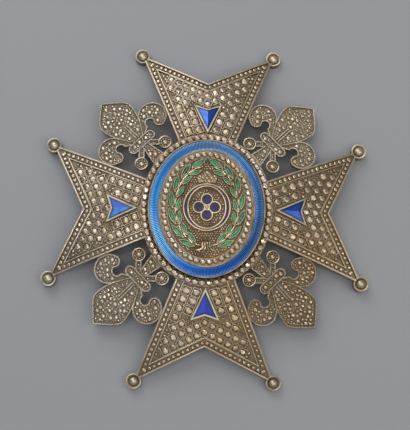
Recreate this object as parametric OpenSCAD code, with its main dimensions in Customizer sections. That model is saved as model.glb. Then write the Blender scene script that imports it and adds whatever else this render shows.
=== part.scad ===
// Breast star: a vaulted silver cross of four V-ended arms, a pierced lily between
// each pair of arms, and an oval medallion with enamel, bead rings, wreath and crown.
// The face points to +Z, the top arm to +Y. The star lies on its tip buttons at Z = 0.

/* [Arms] */
// Distance from the centre to the tip buttons of a side arm
arm_reach = 36.2; // [34:0.1:39]
// Distance between the two tip buttons of one arm
arm_spread = 31.8; // [29:0.1:34]
// Depth of the V cut into the outer end of an arm
arm_notch = 7.7; // [6:0.1:9]
// Width of an arm where it leaves the medallion
arm_waist = 13.1; // [12:0.1:14.5]
// Radius of the vaulted face
vault_r = 130; // [100:1:200]
// Thickness of the arm metal
arm_t = 1.1; // [0.8:0.05:1.6]

/* [Arm relief] */
// Width of the wire along the edges of an arm
rim_w = 0.4; // [0.35:0.05:0.7]
// Height of the rim and inner wires above the arm
wire_h = 0.4; // [0.2:0.05:0.6]
// Distance from the edge of an arm to the middle of its inner wire
inner_wire_in = 1.85; // [1.6:0.05:2.2]
// Width of the inner wire
inner_wire_w = 0.28; // [0.22:0.02:0.4]
// Distance between neighbouring studs along the V cut
stud_pitch = 1.95; // [1.9:0.05:2.3]
// Width of a stud along the V cut
stud_w = 1.75; // [1.2:0.05:1.8]
// Distance between neighbouring studs beside an arrowhead
side_stud_pitch = 2.15; // [2.1:0.05:2.5]
// Distance between the rows of studs beside an arrowhead
side_row_pitch = 2.3; // [2.1:0.05:2.5]
// Width of a stud beside an arrowhead
side_stud_w = 1.95; // [1.4:0.05:2]
// Height of a stud
stud_h = 0.55; // [0.3:0.05:0.8]

/* [Tip buttons] */
// Diameter of a tip button
button_d = 3.6; // [3:0.1:4.4]
// Width of the collar ring round a button's dome
collar_w = 0.4; // [0.3:0.05:0.6]
// Height of the collar ring above the arm
collar_h = 0.4; // [0.3:0.05:0.9]
// Diameter of the dome in a button
dome_d = 2.4; // [1.8:0.1:2.6]
// How far a button reaches below the arm metal
button_foot = 0.2; // [0.1:0.05:0.6]

/* [Arrowheads] */
// Gap from the blue oval to the point of a side arrowhead
side_arrow_gap = 2.8; // [2.4:0.1:3.4]
// Gap from the blue oval to the point of the top and bottom arrowheads
upright_arrow_gap = 2.4; // [2.3:0.1:3.2]
// Length of an arrowhead from its point to its back corners
arrow_l = 7.2; // [6:0.1:7.8]
// Width of an arrowhead across its back corners
arrow_w = 6.7; // [5.5:0.1:7.2]
// Depth of the notch in the back of an arrowhead
arrow_notch = 1.1; // [0.6:0.1:1.6]
// Width of the gold wire round an arrowhead
bezel_w = 0.35; // [0.25:0.05:0.5]
// Height of the gold wire above the arm
bezel_h = 0.85; // [0.6:0.05:1.1]
// Height of the enamel at the ridge of an arrowhead
arrow_ridge_h = 1; // [0.7:0.05:1.2]
// Height of the enamel along the sides of an arrowhead
arrow_side_h = 0.6; // [0.4:0.05:0.65]

/* [Lilies] */
// Length of a lily from the bead ring to the tip of its petal
lily_l = 20.2; // [19:0.1:22]
// Widest width of the middle petal
petal_w = 9.2; // [8:0.1:10]
// Distance from the widest place of the petal to its tip
petal_tip_l = 5.2; // [4.5:0.1:5.8]
// Width of the foot of the middle petal
petal_foot_w = 1.4; // [1:0.1:2]
// Distance from the bead ring to the crossband
band_out = 5.8; // [5.6:0.05:6.2]
// Length of the crossband
band_l = 7.5; // [6.8:0.1:8]
// Width of the crossband
band_w = 2.3; // [1.9:0.1:2.6]
// Distance from the bead ring to the middle of a scroll
scroll_out = 9; // [8.8:0.1:9.3]
// Radius of a scroll
scroll_r = 3.4; // [3.2:0.05:3.6]
// Radius of the curled end of a scroll
curl_r = 1.4; // [1.2:0.05:1.5]
// Radius of the eye inside a scroll
eye_r = 1.05; // [0.8:0.05:1.2]
// Distance from the bead ring to the middle of the two bosses
boss_out = 1.9; // [1.8:0.05:2.4]
// Distance between the two bosses of a lily
boss_span = 7.6; // [7.2:0.1:8]
// Diameter of a boss
boss_d = 3.1; // [2.6:0.1:3.3]
// Width of the bars that carry the bosses
bar_w = 1.4; // [1.1:0.1:1.8]
// Width of the foot wedge at the bead ring
wedge_w = 4.2; // [3.4:0.1:4.6]
// Thickness of the lily metal
lily_t = 0.9; // [0.6:0.05:1.3]
// How far the face of a lily lies below the face of the arms
lily_drop = 0.35; // [0.2:0.05:0.6]
// Diameter of the dot in a boss
boss_dot_d = 1; // [0.8:0.1:1.2]
// Length of the two veins in the middle petal
vein_l = 4.4; // [3:0.1:5]
// Width of a vein
vein_w = 0.3; // [0.2:0.05:0.4]
// Width of the raised outline of a lily
lily_rim_w = 0.3; // [0.25:0.05:0.5]
// Height of the raised outline of a lily
lily_rim_h = 0.35; // [0.2:0.05:0.6]

/* [Medallion] */
// Width of the blue enamel oval
oval_w = 26.2; // [25:0.1:27.5]
// Height of the blue enamel oval
oval_h = 31.6; // [30:0.1:33]
// Width of the blue enamel band
band_enamel_w = 2.1; // [1.7:0.05:2.4]
// Width of the wires on both sides of the enamel band
edge_wire_w = 0.3; // [0.2:0.05:0.4]
// Thickness of the medallion plate at the centre, without its raised ground
plate_t = 0.75; // [0.6:0.05:1]
// Height of the edge wires above the plate
edge_wire_h = 0.5; // [0.35:0.05:0.7]
// Height of the raised ground above the plate
ground_h = 0.3; // [0.15:0.05:0.4]
// Diameter of the outer beads
outer_bead_d = 1.46; // [1.2:0.02:1.5]
// Number of outer beads
outer_bead_n = 60; // [52:1:62]
// Diameter of the inner beads
inner_bead_d = 1.32; // [1.1:0.02:1.36]
// Number of inner beads
inner_bead_n = 48; // [40:1:49]
// Width of the strips that carry the beads
bead_strip_w = 1.7; // [1.6:0.05:1.8]
// Thickness of the strips that carry the beads, at its thinnest
bead_strip_t = 0.35; // [0.25:0.05:0.5]

/* [Wreath and crown] */
// Width of the wreath between its two stems
wreath_w = 14.4; // [14.2:0.1:14.5]
// Height of the wreath from its tie to its top
wreath_h = 18.6; // [18.5:0.1:18.7]
// How far the wreath's middle lies above the medallion's middle
wreath_up = 0.4; // [0.35:0.05:0.45]
// Number of leaf pairs on each side
leaf_pairs = 7; // [6:1:7]
// Length of an outer leaf
leaf_l = 3.85; // [3:0.05:3.85]
// Width of an outer leaf
leaf_w = 1.2; // [0.7:0.05:1.2]
// Length of an inner leaf
inner_leaf_l = 2.9; // [1.9:0.05:2.9]
// Width of an inner leaf
inner_leaf_w = 0.95; // [0.7:0.05:0.95]
// Height of a leaf above the ground
leaf_h = 0.4; // [0.25:0.05:0.5]
// Width of a stem
stem_w = 0.3; // [0.2:0.05:0.4]
// Width of the crown
crown_w = 6; // [5.4:0.1:6.4]
// Height of the crown with its top bead
crown_h = 3.8; // [3.4:0.1:4]
// Diameter of the crown's beads
crown_bead_d = 0.9; // [0.7:0.05:1]

/* [Oval ring and rosette] */
// Width of the oval ring
ring_w = 10.8; // [10.2:0.1:11]
// Height of the oval ring
ring_h = 11; // [10.6:0.1:11.2]
// Width of the oval ring's metal at its sides
ring_band_w = 1.2; // [1:0.05:1.4]
// Width of the oval ring's metal at its top and bottom
ring_band_h = 0.7; // [0.65:0.05:1.2]
// Width of the wires on both edges of the oval ring
ring_wire_w = 0.22; // [0.15:0.01:0.25]
// How far the oval ring stands above the ground
ring_t = 0.6; // [0.4:0.05:0.8]
// Radius of a rosette petal
rosette_r = 1.4; // [1.2:0.05:1.45]
// Distance from the rosette's middle to the middle of a petal
rosette_out = 1.8; // [1.75:0.05:1.9]

/* [Brooch pin] */
// Distance between the two posts of the pin
pin_span = 46; // [40:1:50]
// Diameter of the pin
pin_d = 1.4; // [1:0.1:1.8]
// Diameter of a post
post_d = 3; // [2.4:0.1:4]
// Distance from the surface the star lies on to the pin
pin_clear = 0.5; // [0.3:0.1:1]
// Thickness of the plates that hold the posts
pad_t = 0.6; // [0.4:0.1:1]
// Width of the plates that hold the posts
pad_w = 6; // [4:0.5:7]

/* [Fits] */
// Gap between pieces that lie on or in each other
fit = 0.05; // [0.03:0.01:0.1]
// Gap between a lily and its neighbours
lily_fit = 0.12; // [0.1:0.01:0.2]

/* [Hidden] */

SILVER = [0.62, 0.58, 0.50];
GOLD = [0.85, 0.66, 0.34];
BLUE = [0.08, 0.28, 0.78];
GREEN = [0.05, 0.45, 0.25];
PURPLE = [0.16, 0.10, 0.42];

// Turn of each arm, and how far the top and bottom arms are pushed out by the oval
TOP = 90;
RIGHT = 0;
BOTTOM = 270;
LEFT = 180;
push = (oval_h - oval_w) / 2;
function arm_push(turn) = abs(sin(turn)) > 0.5 ? push : 0;

// Tall enough for any prism that is cut from the vault
tall = 60;
// Steps round an oval
oval_steps = 96;
// Steps round the sphere of the vault
vault_steps = 360;
// How far a cut runs past the face that it opens
past = 1;
// How deep a button's dome sits below the arm's face
dome_sink = 0.3;

// The vault is a sphere. Its centre lies so that the farthest buttons stand at Z = 0
far_tip = norm([arm_reach + push, arm_spread / 2]);
vault_z = button_foot - sqrt(pow(vault_r - arm_t, 2) - pow(far_tip, 2));
top_z = vault_z + vault_r;
function skin_z(distance, above) = vault_z + sqrt(pow(vault_r + above, 2) - pow(distance, 2));

// Outlines run counter-clockwise
function unit(v) = v / norm(v);
function inward(p, q) = let (u = unit(q - p)) [-u[1], u[0]];
function mitre(p, q, r, d) = let (n1 = inward(p, q), n2 = inward(q, r)) q + d * (n1 + n2) / (1 + n1 * n2);
function inset(pts, d) = let (n = len(pts))
    [for (i = [0 : n - 1]) mitre(pts[(i + n - 1) % n], pts[i], pts[(i + 1) % n], d)];
// An oval of the half sizes in half, made larger all round by d
function oval(half, d) = [for (i = [0 : oval_steps - 1]) let (t = 360 * i / oval_steps)
    [(half[0] + d) * cos(t), (half[1] + d) * sin(t)]];

// Arm outline: X runs outward along the arm. Its root is hidden under the medallion
arm_slope = (arm_spread - arm_waist) / 2 / (arm_reach - oval_w / 2);
arm_root = oval_w / 4;
function arm_half(x) = arm_waist / 2 + arm_slope * (x - oval_w / 2);
arm_outline = [[arm_root, -arm_half(arm_root)], [arm_reach, -arm_spread / 2], [arm_reach - arm_notch, 0],
    [arm_reach, arm_spread / 2], [arm_root, arm_half(arm_root)]];
side_cos = cos(atan(arm_slope));
notch_turn = atan2(arm_spread / 2, arm_notch);
function from_side(p) = (arm_half(p[0]) - abs(p[1])) * side_cos;

// Bead rings: half sizes of the lines that their beads follow, and the strips' edges
oval_half = [oval_w / 2, oval_h / 2];
strip_half = [bead_strip_w / 2, bead_strip_w / 2];
wire_and_fit = [edge_wire_w + fit, edge_wire_w + fit];
outer_line = oval_half + wire_and_fit + strip_half;
inner_line = oval_half - [band_enamel_w, band_enamel_w] - wire_and_fit - strip_half;
hub = outer_line + strip_half;
ground = inner_line - strip_half - [fit, fit];

// Arrowheads in arm coordinates, pointing at the medallion
function arrow_tip(turn) = oval_w / 2 + (arm_push(turn) > 0 ? upright_arrow_gap : side_arrow_gap);
function arrow_outline(turn) = let (x = arrow_tip(turn))
    [[x, 0], [x + arrow_l, -arrow_w / 2], [x + arrow_l - arrow_notch, 0], [x + arrow_l, arrow_w / 2]];

// Lilies lie on the line that halves the angle between two arms, from where the arm edges would cross
edge_zero = arm_half(0);
corner_x = (edge_zero * (1 + arm_slope) - arm_slope * push) / (1 - arm_slope * arm_slope);
corner = [corner_x, edge_zero + arm_slope * corner_x];
lily_open = 45 - atan(arm_slope);
// Distance along that line to the hub's edge
qa = (pow(1 / hub[0], 2) + pow(1 / hub[1], 2)) / 2;
qb = sqrt(2) * (corner[0] / pow(hub[0], 2) + corner[1] / pow(hub[1], 2));
qc = pow(corner[0] / hub[0], 2) + pow(corner[1] / hub[1], 2) - 1;
lily_start = (-qb + sqrt(qb * qb - 4 * qa * qc)) / (2 * qa);
petal_tip = lily_start + lily_l;
petal_wide = petal_tip - petal_tip_l;
band_x = lily_start + band_out;
scroll_x = lily_start + scroll_out;
scroll_y = scroll_x * tan(lily_open) - scroll_r / cos(lily_open);
eye_x = scroll_x - eye_r;
eye_y = scroll_y - scroll_r / 2;
curl_x = scroll_x - scroll_r + curl_r;
curl_y = scroll_y + curl_r / 4;
boss_x = lily_start + boss_out;
petal_steps = 12;

// A solid that follows the vault between two heights over its face
module vault_layer(low, high) {
    intersection() {
        difference() {
            translate([0, 0, vault_z]) sphere(r = vault_r + high, $fn = vault_steps);
            translate([0, 0, vault_z]) sphere(r = vault_r + low, $fn = vault_steps);
        }
        children();
    }
}

module prism(pts) {
    translate([0, 0, -tall / 2]) linear_extrude(height = tall) polygon(pts);
}

module post(x, y, r) {
    translate([x, y, -tall / 2]) cylinder(r = r, h = tall, $fn = 48);
}

module on_arm(turn) {
    rotate(turn) translate([arm_push(turn), 0, 0]) children();
}

module arm_prism(turn, d) {
    on_arm(turn) prism(inset(arm_outline, d));
}

module arm_hollow(turn) {
    difference() {
        arm_prism(turn, rim_w);
        arm_prism(turn, inner_wire_in - inner_wire_w / 2);
    }
    arm_prism(turn, inner_wire_in + inner_wire_w / 2);
}

function button_face(turn) = skin_z(norm([arm_reach + arm_push(turn), arm_spread / 2]), 0);

module on_tips(turn) {
    on_arm(turn) for (side = [-1, 1]) translate([arm_reach, side * arm_spread / 2, 0]) children();
}

module buttons(turn) {
    distance = norm([arm_reach + arm_push(turn), arm_spread / 2]);
    low = skin_z(distance, -arm_t) - button_foot;
    face = button_face(turn);
    on_tips(turn) {
        difference() {
            translate([0, 0, low]) cylinder(d = button_d, h = face + collar_h - low, $fn = 48);
            button_cup(turn);
        }
        translate([0, 0, face - dome_sink]) intersection() {
            sphere(d = dome_d, $fn = 48);
            translate([-dome_d, -dome_d, 0]) cube([2 * dome_d, 2 * dome_d, dome_d]);
        }
    }
}

module button_cup(turn) {
    cup_d = button_d - 2 * collar_w;
    translate([0, 0, button_face(turn)]) cylinder(d = cup_d, h = collar_h + past, $fn = 48);
}

module cross() {
    color(SILVER) {
        difference() {
            vault_layer(-arm_t, wire_h) {
                union() {
                    for (turn = [RIGHT, TOP, LEFT, BOTTOM]) arm_prism(turn, 0);
                    prism(oval(hub, 0));
                }
            }
            vault_layer(0, wire_h + past) {
                union() {
                    for (turn = [RIGHT, TOP, LEFT, BOTTOM]) arm_hollow(turn);
                    prism(oval(hub, fit));
                }
            }
            for (turn = [RIGHT, TOP, LEFT, BOTTOM]) on_tips(turn) button_cup(turn);
        }
        for (turn = [RIGHT, TOP, LEFT, BOTTOM]) buttons(turn);
    }
}

// Studs: rows along the V cut, then rows that run from them along the sides of the arm
notch_rows = 3;
side_rows = 2;
stud_sides = 8;
stud_edge = inner_wire_in + inner_wire_w / 2;
notch_rows_end = stud_edge + notch_rows * stud_pitch;
// More steps than any row has studs
max_steps = 20;
function inside_oval(p, half, d) = pow(p[0] / (half[0] + d), 2) + pow(p[1] / (half[1] + d), 2) < 1;
function in_outline(p, pts) = let (n = len(pts))
    min([for (i = [0 : n - 1]) (p - pts[i]) * inward(pts[i], pts[(i + 1) % n])]) > 0;
// A stud of radius r at p keeps clear of the arrowhead's triangle, or stands behind its notch
function off_arrow(p, turn, r) = let (x = arrow_tip(turn))
    !in_outline(p, inset([[x, 0], [x + arrow_l, -arrow_w / 2], [x + arrow_l, arrow_w / 2]], -r - fit));
function off_arrow_back(p, turn, r) =
    p[0] > arrow_tip(turn) + arrow_l - arrow_notch * (1 - 2 * abs(p[1]) / arrow_w) + r + fit;
function off_hub(p, turn, r) =
    !inside_oval(arm_push(turn) > 0 ? [p[1], p[0] + push] : p, hub, r + fit);
function free_spot(p, turn, r) = from_side(p) > stud_edge + r + fit && off_hub(p, turn, r)
    && (off_arrow(p, turn, r) || off_arrow_back(p, turn, r));
function notch_spot(row, i) = let (d = stud_edge + (row + 0.5) * stud_pitch,
        x = arm_reach - arm_notch - d / sin(notch_turn))
    [x + i * stud_pitch * cos(notch_turn), i * stud_pitch * sin(notch_turn)];
function notch_spots(turn) = [for (row = [0 : notch_rows - 1]) for (i = [0 : max_steps])
    let (p = notch_spot(row, i))
    if (free_spot(p, turn, stud_w / 2)) p];
// The first stud of a side row lies where the row meets the rows along the V cut
function side_spot(row, i) = let (line = arm_half(0) - (stud_edge + (row + 0.5) * side_row_pitch) / side_cos,
        end = (arm_reach - arm_notch) * sin(notch_turn) - notch_rows_end - side_stud_w / 2 - fit,
        first = (end + line * cos(notch_turn)) / (sin(notch_turn) - arm_slope * cos(notch_turn)),
        x = first - i * side_stud_pitch * side_cos)
    [x, line + arm_slope * x];
function side_spots(turn) = [for (row = [0 : side_rows - 1]) for (i = [0 : max_steps])
    let (p = side_spot(row, i))
    if (free_spot(p, turn, side_stud_w / 2)) p];
function mirrored(spots) = [for (p = spots) if (p[1] > 0) [p[0], -p[1]]];

module stud(p, w) {
    polar = asin(norm(p) / vault_r);
    around = atan2(p[1], p[0]);
    translate([0, 0, vault_z]) rotate([0, polar, around]) translate([0, 0, vault_r + fit]) {
        rotate(180 / stud_sides - around) cylinder(d1 = w, d2 = w / 2, h = stud_h, $fn = stud_sides);
    }
}

module studs(turn) {
    notch_half = notch_spots(turn);
    side_half = side_spots(turn);
    color(SILVER) rotate(turn) {
        for (p = concat(notch_half, mirrored(notch_half))) stud([p[0] + arm_push(turn), p[1]], stud_w);
        for (p = concat(side_half, mirrored(side_half))) stud([p[0] + arm_push(turn), p[1]], side_stud_w);
    }
}

module arrow_bezel(turn) {
    outline = arrow_outline(turn);
    color(GOLD) vault_layer(fit, bezel_h) {
        on_arm(turn) difference() {
            prism(outline);
            prism(inset(outline, bezel_w));
        }
    }
}

module arrow_enamel(turn) {
    start = arrow_tip(turn);
    middle = start + arm_push(turn) + arrow_l / 2;
    slope = asin(middle / vault_r);
    // The roof is drawn twice as wide as the arrowhead, so its eaves lie lower than the sides
    eaves = 2 * arrow_side_h - arrow_ridge_h;
    roof = [[-arrow_w, -past], [arrow_w, -past], [arrow_w, eaves], [0, arrow_ridge_h], [-arrow_w, eaves]];
    color(BLUE) intersection() {
        vault_layer(fit, vault_r) {
            on_arm(turn) prism(inset(arrow_outline(turn), bezel_w + fit));
        }
        rotate(turn) translate([middle, 0, skin_z(middle, 0)]) rotate([0, slope, 0]) {
            rotate([90, 0, 90]) translate([0, 0, -arrow_l]) {
                linear_extrude(height = 2 * arrow_l) polygon(roof);
            }
        }
    }
}

// Half width of a lily's middle petal at a place along it, drawn in by d.
// Its tip is about a right angle with straight edges, and it narrows in a long curve to its foot
petal_foot = band_x;
function petal_end(d) = petal_tip - sqrt(2) * d;
function petal_half(x, d) = let (full = petal_w / 2 - d, thin = petal_foot_w / 2 - d / 2,
        to_tip = (petal_end(d) - x) / (petal_end(d) - petal_wide),
        to_foot = (petal_wide - x) / (petal_wide - petal_foot))
    to_tip < 1 ? full * (5 * to_tip - pow(to_tip, 5)) / 4 : thin + (full - thin) * cos(90 * to_foot);
function petal_xs(d) = concat(
    [for (i = [0 : petal_steps]) petal_foot + d + (petal_wide - petal_foot - d) * i / petal_steps],
    [for (i = [1 : petal_steps - 1]) petal_wide + (petal_end(d) - petal_wide) * i / petal_steps]);
function petal_outline(d) = let (xs = petal_xs(d), n = len(xs))
    concat([for (x = xs) [x, -petal_half(x, d)]], [[petal_end(d), 0]],
        [for (i = [n - 1 : -1 : 0]) [xs[i], petal_half(xs[i], d)]]);

// Where a scroll's stem starts before the crossband and ends past it, on the lily's middle line
stem_before = 0.4;
stem_past = 2.4;
// Where its outer end meets the scroll, in parts of the scroll's radius
stem_outer_end = 0.6;
stem_inner_end = 0.2;
// How far past the bead ring's edge the foot wedge is drawn before it is cut there
wedge_root = 2;

module lily_scroll(side, d) {
    stem = [[band_x - stem_before, 0], [band_x + stem_past, 0],
        [scroll_x + scroll_r * stem_outer_end, scroll_y - scroll_r * stem_outer_end],
        [scroll_x, scroll_y - scroll_r * stem_inner_end]];
    mirror([0, side > 0 ? 0 : 1, 0]) {
        difference() {
            union() {
                difference() {
                    post(scroll_x, scroll_y, scroll_r - d);
                    prism([[lily_start, 0], [eye_x, 0], [eye_x, curl_y], [lily_start, curl_y]]);
                }
                prism(inset(stem, d));
            }
            post(eye_x, eye_y, eye_r + d);
        }
        post(curl_x, curl_y, curl_r - d);
    }
}

module lily_band(d) {
    reach = (band_l - band_w) / 2;
    r = band_w / 2 - d;
    for (side = [-1, 1]) post(band_x, side * reach, r);
    translate([band_x - r, -reach, -tall / 2]) cube([2 * r, 2 * reach, tall]);
}

module lily_bosses(d) {
    for (side = [-1, 1]) post(boss_x, side * boss_span / 2, boss_d / 2 - d);
}

module lily_bars(d) {
    run = [band_x - boss_x, boss_span / 2];
    wedge = [[lily_start - wedge_root, -wedge_w / 2], [band_x, -bar_w / 2],
        [band_x, bar_w / 2], [lily_start - wedge_root, wedge_w / 2]];
    for (side = [-1, 1]) {
        translate([band_x, 0, -tall / 2]) rotate(atan2(side * run[1], -run[0])) {
            translate([0, d - bar_w / 2, 0]) cube([norm(run), bar_w - 2 * d, tall]);
        }
    }
    prism(inset(wedge, d));
}

// A lily is drawn at the top right, and mirrored to its place by the signs of its X and Y side
module on_lily(x_side, y_side) {
    mirror([x_side < 0 ? 1 : 0, 0, 0]) mirror([0, y_side < 0 ? 1 : 0, 0]) children();
}

module lily_neighbours(gap) {
    arm_prism(RIGHT, -gap);
    arm_prism(TOP, -gap);
    prism(oval(hub, gap));
}

module lily_place() {
    translate([corner[0], corner[1], 0]) rotate(45) children();
}

module lily_form() {
    difference() {
        lily_place() {
            prism(petal_outline(0));
            lily_scroll(1, 0);
            lily_scroll(-1, 0);
            lily_band(0);
            lily_bars(0);
            lily_bosses(0);
        }
        lily_neighbours(lily_fit);
    }
}

// Every part of a lily is sunk inside its own outline, and the crossband lies over the others
module lily_pockets() {
    d = lily_rim_w;
    difference() {
        lily_place() {
            lily_band(d);
            lily_bosses(d);
            difference() {
                prism(petal_outline(d));
                lily_band(0);
            }
            difference() {
                union() {
                    lily_scroll(1, d);
                    lily_scroll(-1, d);
                }
                prism(petal_outline(0));
                lily_band(0);
            }
            difference() {
                lily_bars(d);
                lily_band(0);
                lily_bosses(0);
            }
        }
        lily_neighbours(lily_fit + d);
    }
}

module lily_marks() {
    lily_place() for (side = [-1, 1]) {
        post(boss_x, side * boss_span / 2, boss_dot_d / 2);
        translate([band_x + band_w / 2 + vein_w, side * vein_w - vein_w / 2, -tall / 2]) {
            cube([vein_l, vein_w, tall]);
        }
    }
}

module lily(x_side, y_side) {
    face = -lily_drop;
    color(SILVER) on_lily(x_side, y_side) {
        difference() {
            vault_layer(face - lily_t, face + lily_rim_h) lily_form();
            vault_layer(face, face + lily_rim_h + past) difference() {
                lily_pockets();
                lily_marks();
            }
        }
    }
}

module oval_slab(half, d, low, high) {
    translate([0, 0, low]) linear_extrude(height = high - low) polygon(oval(half, d));
}

// A wall of width w whose outer face is the oval made larger by d
module oval_wall(half, d, w, low, high) {
    difference() {
        oval_slab(half, d, low, high);
        oval_slab(half, d - w, low - past, high + past);
    }
}

plate_z = top_z + plate_t;
ground_z = plate_z + ground_h;
wire_top = plate_z + edge_wire_h;

// Points shared out evenly along an oval line, by walking many short steps
walk_steps = 720;
function walk(half) = [for (i = [0 : walk_steps]) let (t = 360 * i / walk_steps)
    [half[0] * cos(t), half[1] * sin(t)]];
function step_length(pts, i) = i < len(pts) ? norm(pts[i] - pts[i - 1]) : 0;
function lengths(pts) = [for (i = 0, s = 0; i < len(pts); i = i + 1, s = s + step_length(pts, i)) s];
function spot(pts, sums, s) = let (k = min([for (i = [1 : len(sums) - 1]) if (sums[i] >= s) i]),
        f = (s - sums[k - 1]) / (sums[k] - sums[k - 1]))
    pts[k - 1] + f * (pts[k] - pts[k - 1]);
function even_spots(half, n) = let (pts = walk(half), sums = lengths(pts))
    [for (i = [0 : n - 1]) spot(pts, sums, (i + 0.5) * sums[walk_steps] / n)];

// A flat strip on an oval line with half-round beads on it, above whatever the children cut away
module bead_ring(line, low, high, bead_d, bead_n) {
    difference() {
        union() {
            oval_wall(line, bead_strip_w / 2, bead_strip_w, low, high);
            for (p = even_spots(line, bead_n)) {
                translate([p[0], p[1], high]) sphere(d = bead_d, $fn = 24);
            }
        }
        children();
    }
}

module outer_beads() {
    low = skin_z(hub[1], 0);
    high = skin_z(hub[0], fit) + bead_strip_t;
    color(SILVER) bead_ring(outer_line, low, high, outer_bead_d, outer_bead_n) {
        translate([0, 0, vault_z]) sphere(r = vault_r + fit, $fn = vault_steps);
    }
}

module medallion_plate() {
    color(GOLD) difference() {
        oval_slab(oval_half, edge_wire_w, 0, wire_top);
        oval_wall(oval_half, 0, band_enamel_w, plate_z, wire_top + past);
        oval_wall(oval_half, -band_enamel_w - edge_wire_w, bead_strip_w + 2 * fit, plate_z, wire_top + past);
        oval_slab(ground, fit, ground_z, wire_top + past);
        translate([0, 0, vault_z]) sphere(r = vault_r + fit, $fn = vault_steps);
    }
}

module enamel_band() {
    color(BLUE) oval_wall(oval_half, -fit, band_enamel_w - 2 * fit, plate_z + fit, wire_top - fit);
}

module inner_beads() {
    low = plate_z + fit;
    color(SILVER) bead_ring(inner_line, low, low + bead_strip_t, inner_bead_d, inner_bead_n) {
        translate([-oval_w / 2, -oval_h / 2, low - inner_bead_d]) cube([oval_w, oval_h, inner_bead_d]);
    }
}

// Wreath: each stem is half an oval from the tie at the bottom to the top
stem_steps = 36;
// Angle at both ends of a half oval that its stem leaves free
stem_end = 8;
function stem_point(side, d, t) =
    [side * (wreath_w / 2 + d) * sin(t), wreath_up - (wreath_h / 2 + d) * cos(t)];
function stem_turn(i) = stem_end + (180 - 2 * stem_end) * i / stem_steps;
function stem_outline(side) = concat(
    [for (i = [0 : stem_steps]) stem_point(side, stem_w / 2, stem_turn(i))],
    [for (i = [stem_steps : -1 : 0]) stem_point(side, -stem_w / 2, stem_turn(i))]);
// The tie that holds the stems together
tie_w = 2.6;
tie_l = 0.9;

module wreath_stems() {
    color(GOLD) translate([0, 0, ground_z + fit]) {
        for (side = [-1, 1]) linear_extrude(height = leaf_h) polygon(stem_outline(side));
        translate([-tie_w / 2, wreath_up - wreath_h / 2 - tie_l / 2, 0]) cube([tie_w, tie_l, leaf_h]);
    }
}

// A leaf is the part that two round discs share
module leaf(foot, length, width, turn) {
    r = (length * length + width * width) / 4 / width;
    translate([foot[0], foot[1], 0]) rotate(turn) translate([length / 2, 0, 0]) intersection() {
        translate([0, width / 2 - r, 0]) cylinder(r = r, h = leaf_h, $fn = 64);
        translate([0, r - width / 2, 0]) cylinder(r = r, h = leaf_h, $fn = 64);
    }
}

// Places on the half oval of the first leaves, the last inner leaf and the last outer leaf
leaf_first = 19.5;
inner_last = 142.5;
outer_last = 153.5;
// The last outer leaf points to a place this far above the top of the half ovals
top_off = 1.9;
// An outer leaf turns off its stem by this angle, and starts this far from the stem's middle
outer_splay = 3;
outer_off = leaf_w / 2 + fit;
// An inner leaf starts a little higher up, and its foot and its tip lie this far from the stem's middle
inner_higher = 1.3;
inner_off = 0.37;
inner_tip_off = 0.92;
function heading(from, to) = atan2(to[1] - from[1], to[0] - from[0]);
// Angle on the half oval that a leaf of this length spans from t onward
function leaf_span(length, t) = length / norm([wreath_w / 2 * cos(t), wreath_h / 2 * sin(t)]) * 180 / PI;

module wreath_leaves(side) {
    color(GREEN) translate([0, 0, ground_z + fit]) mirror([side < 0 ? 1 : 0, 0, 0]) {
        for (i = [0 : leaf_pairs - 1]) {
            share = i / (leaf_pairs - 1);
            t = leaf_first + (outer_last - leaf_first) * share;
            outer_foot = stem_point(1, outer_off, t);
            along = heading(stem_point(1, 0, t), stem_point(1, 0, t + 1)) - outer_splay;
            to_top = heading(outer_foot, [0, wreath_up + wreath_h / 2 + top_off]);
            leaf(outer_foot, leaf_l, leaf_w, share < 1 ? along : to_top);
            start = leaf_first + (inner_last - leaf_first) * share + inner_higher;
            foot = stem_point(1, -inner_off, start);
            tip = stem_point(1, -inner_tip_off, start + leaf_span(inner_leaf_l, start));
            leaf(foot, inner_leaf_l, inner_leaf_w, heading(foot, tip));
        }
    }
}

// How far the oval ring's middle lies above the medallion's middle
ring_up = 0.05;
// Gap between the oval ring and the crown, and the half width of the crown's foot as a share
crown_gap = 0.1;
crown_foot = 0.3;
crown_y = ring_up + ring_h / 2 + crown_gap;
// How far the crown's beads stand above its back
crown_bead_lift = 0.05;

module crown() {
    step = (crown_w - crown_bead_d) / 4;
    rise = (crown_h - crown_bead_d) / 2;
    half = (crown_w - crown_bead_d) / 2;
    foot = crown_w * crown_foot;
    body = [[-foot, 0], [foot, 0], [half, rise], [0, 2 * rise], [-half, rise]];
    bead_z = crown_bead_lift + crown_bead_d / 2;
    color(GOLD) translate([0, crown_y, ground_z + fit]) {
        linear_extrude(height = leaf_h) polygon(body);
        for (i = [-2 : 2]) {
            translate([i * step, rise + (2 - abs(i)) * rise / 2, bead_z]) sphere(d = crown_bead_d, $fn = 24);
        }
    }
}

ring_half = [ring_w / 2, ring_h / 2];
ring_hole = ring_half - [ring_band_w, ring_band_h];

module oval_ring() {
    low = ground_z + fit;
    high = low + ring_t;
    color(GOLD) translate([0, ring_up, 0]) difference() {
        oval_slab(ring_half, 0, low, high);
        oval_slab(ring_hole, 0, low - past, high + past);
        difference() {
            oval_slab(ring_half, -ring_wire_w, low + ring_t / 2, high + past);
            oval_slab(ring_hole, ring_wire_w, low, high + 2 * past);
        }
    }
}

module oval_ring_enamel() {
    low = ground_z + fit + ring_t / 2;
    in = ring_wire_w + fit;
    color(PURPLE) translate([0, ring_up, 0]) difference() {
        oval_slab(ring_half, -in, low + fit, low + ring_t / 2 - fit);
        oval_slab(ring_hole, in, low, low + ring_t);
    }
}

// Height of the rosette's middle bead
rosette_bead_h = 1.5 * ring_t;

module rosette_posts(r, h) {
    for (turn = [0 : 90 : 270]) rotate(turn) translate([rosette_out, 0, 0]) cylinder(r = r, h = h, $fn = 48);
}

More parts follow.
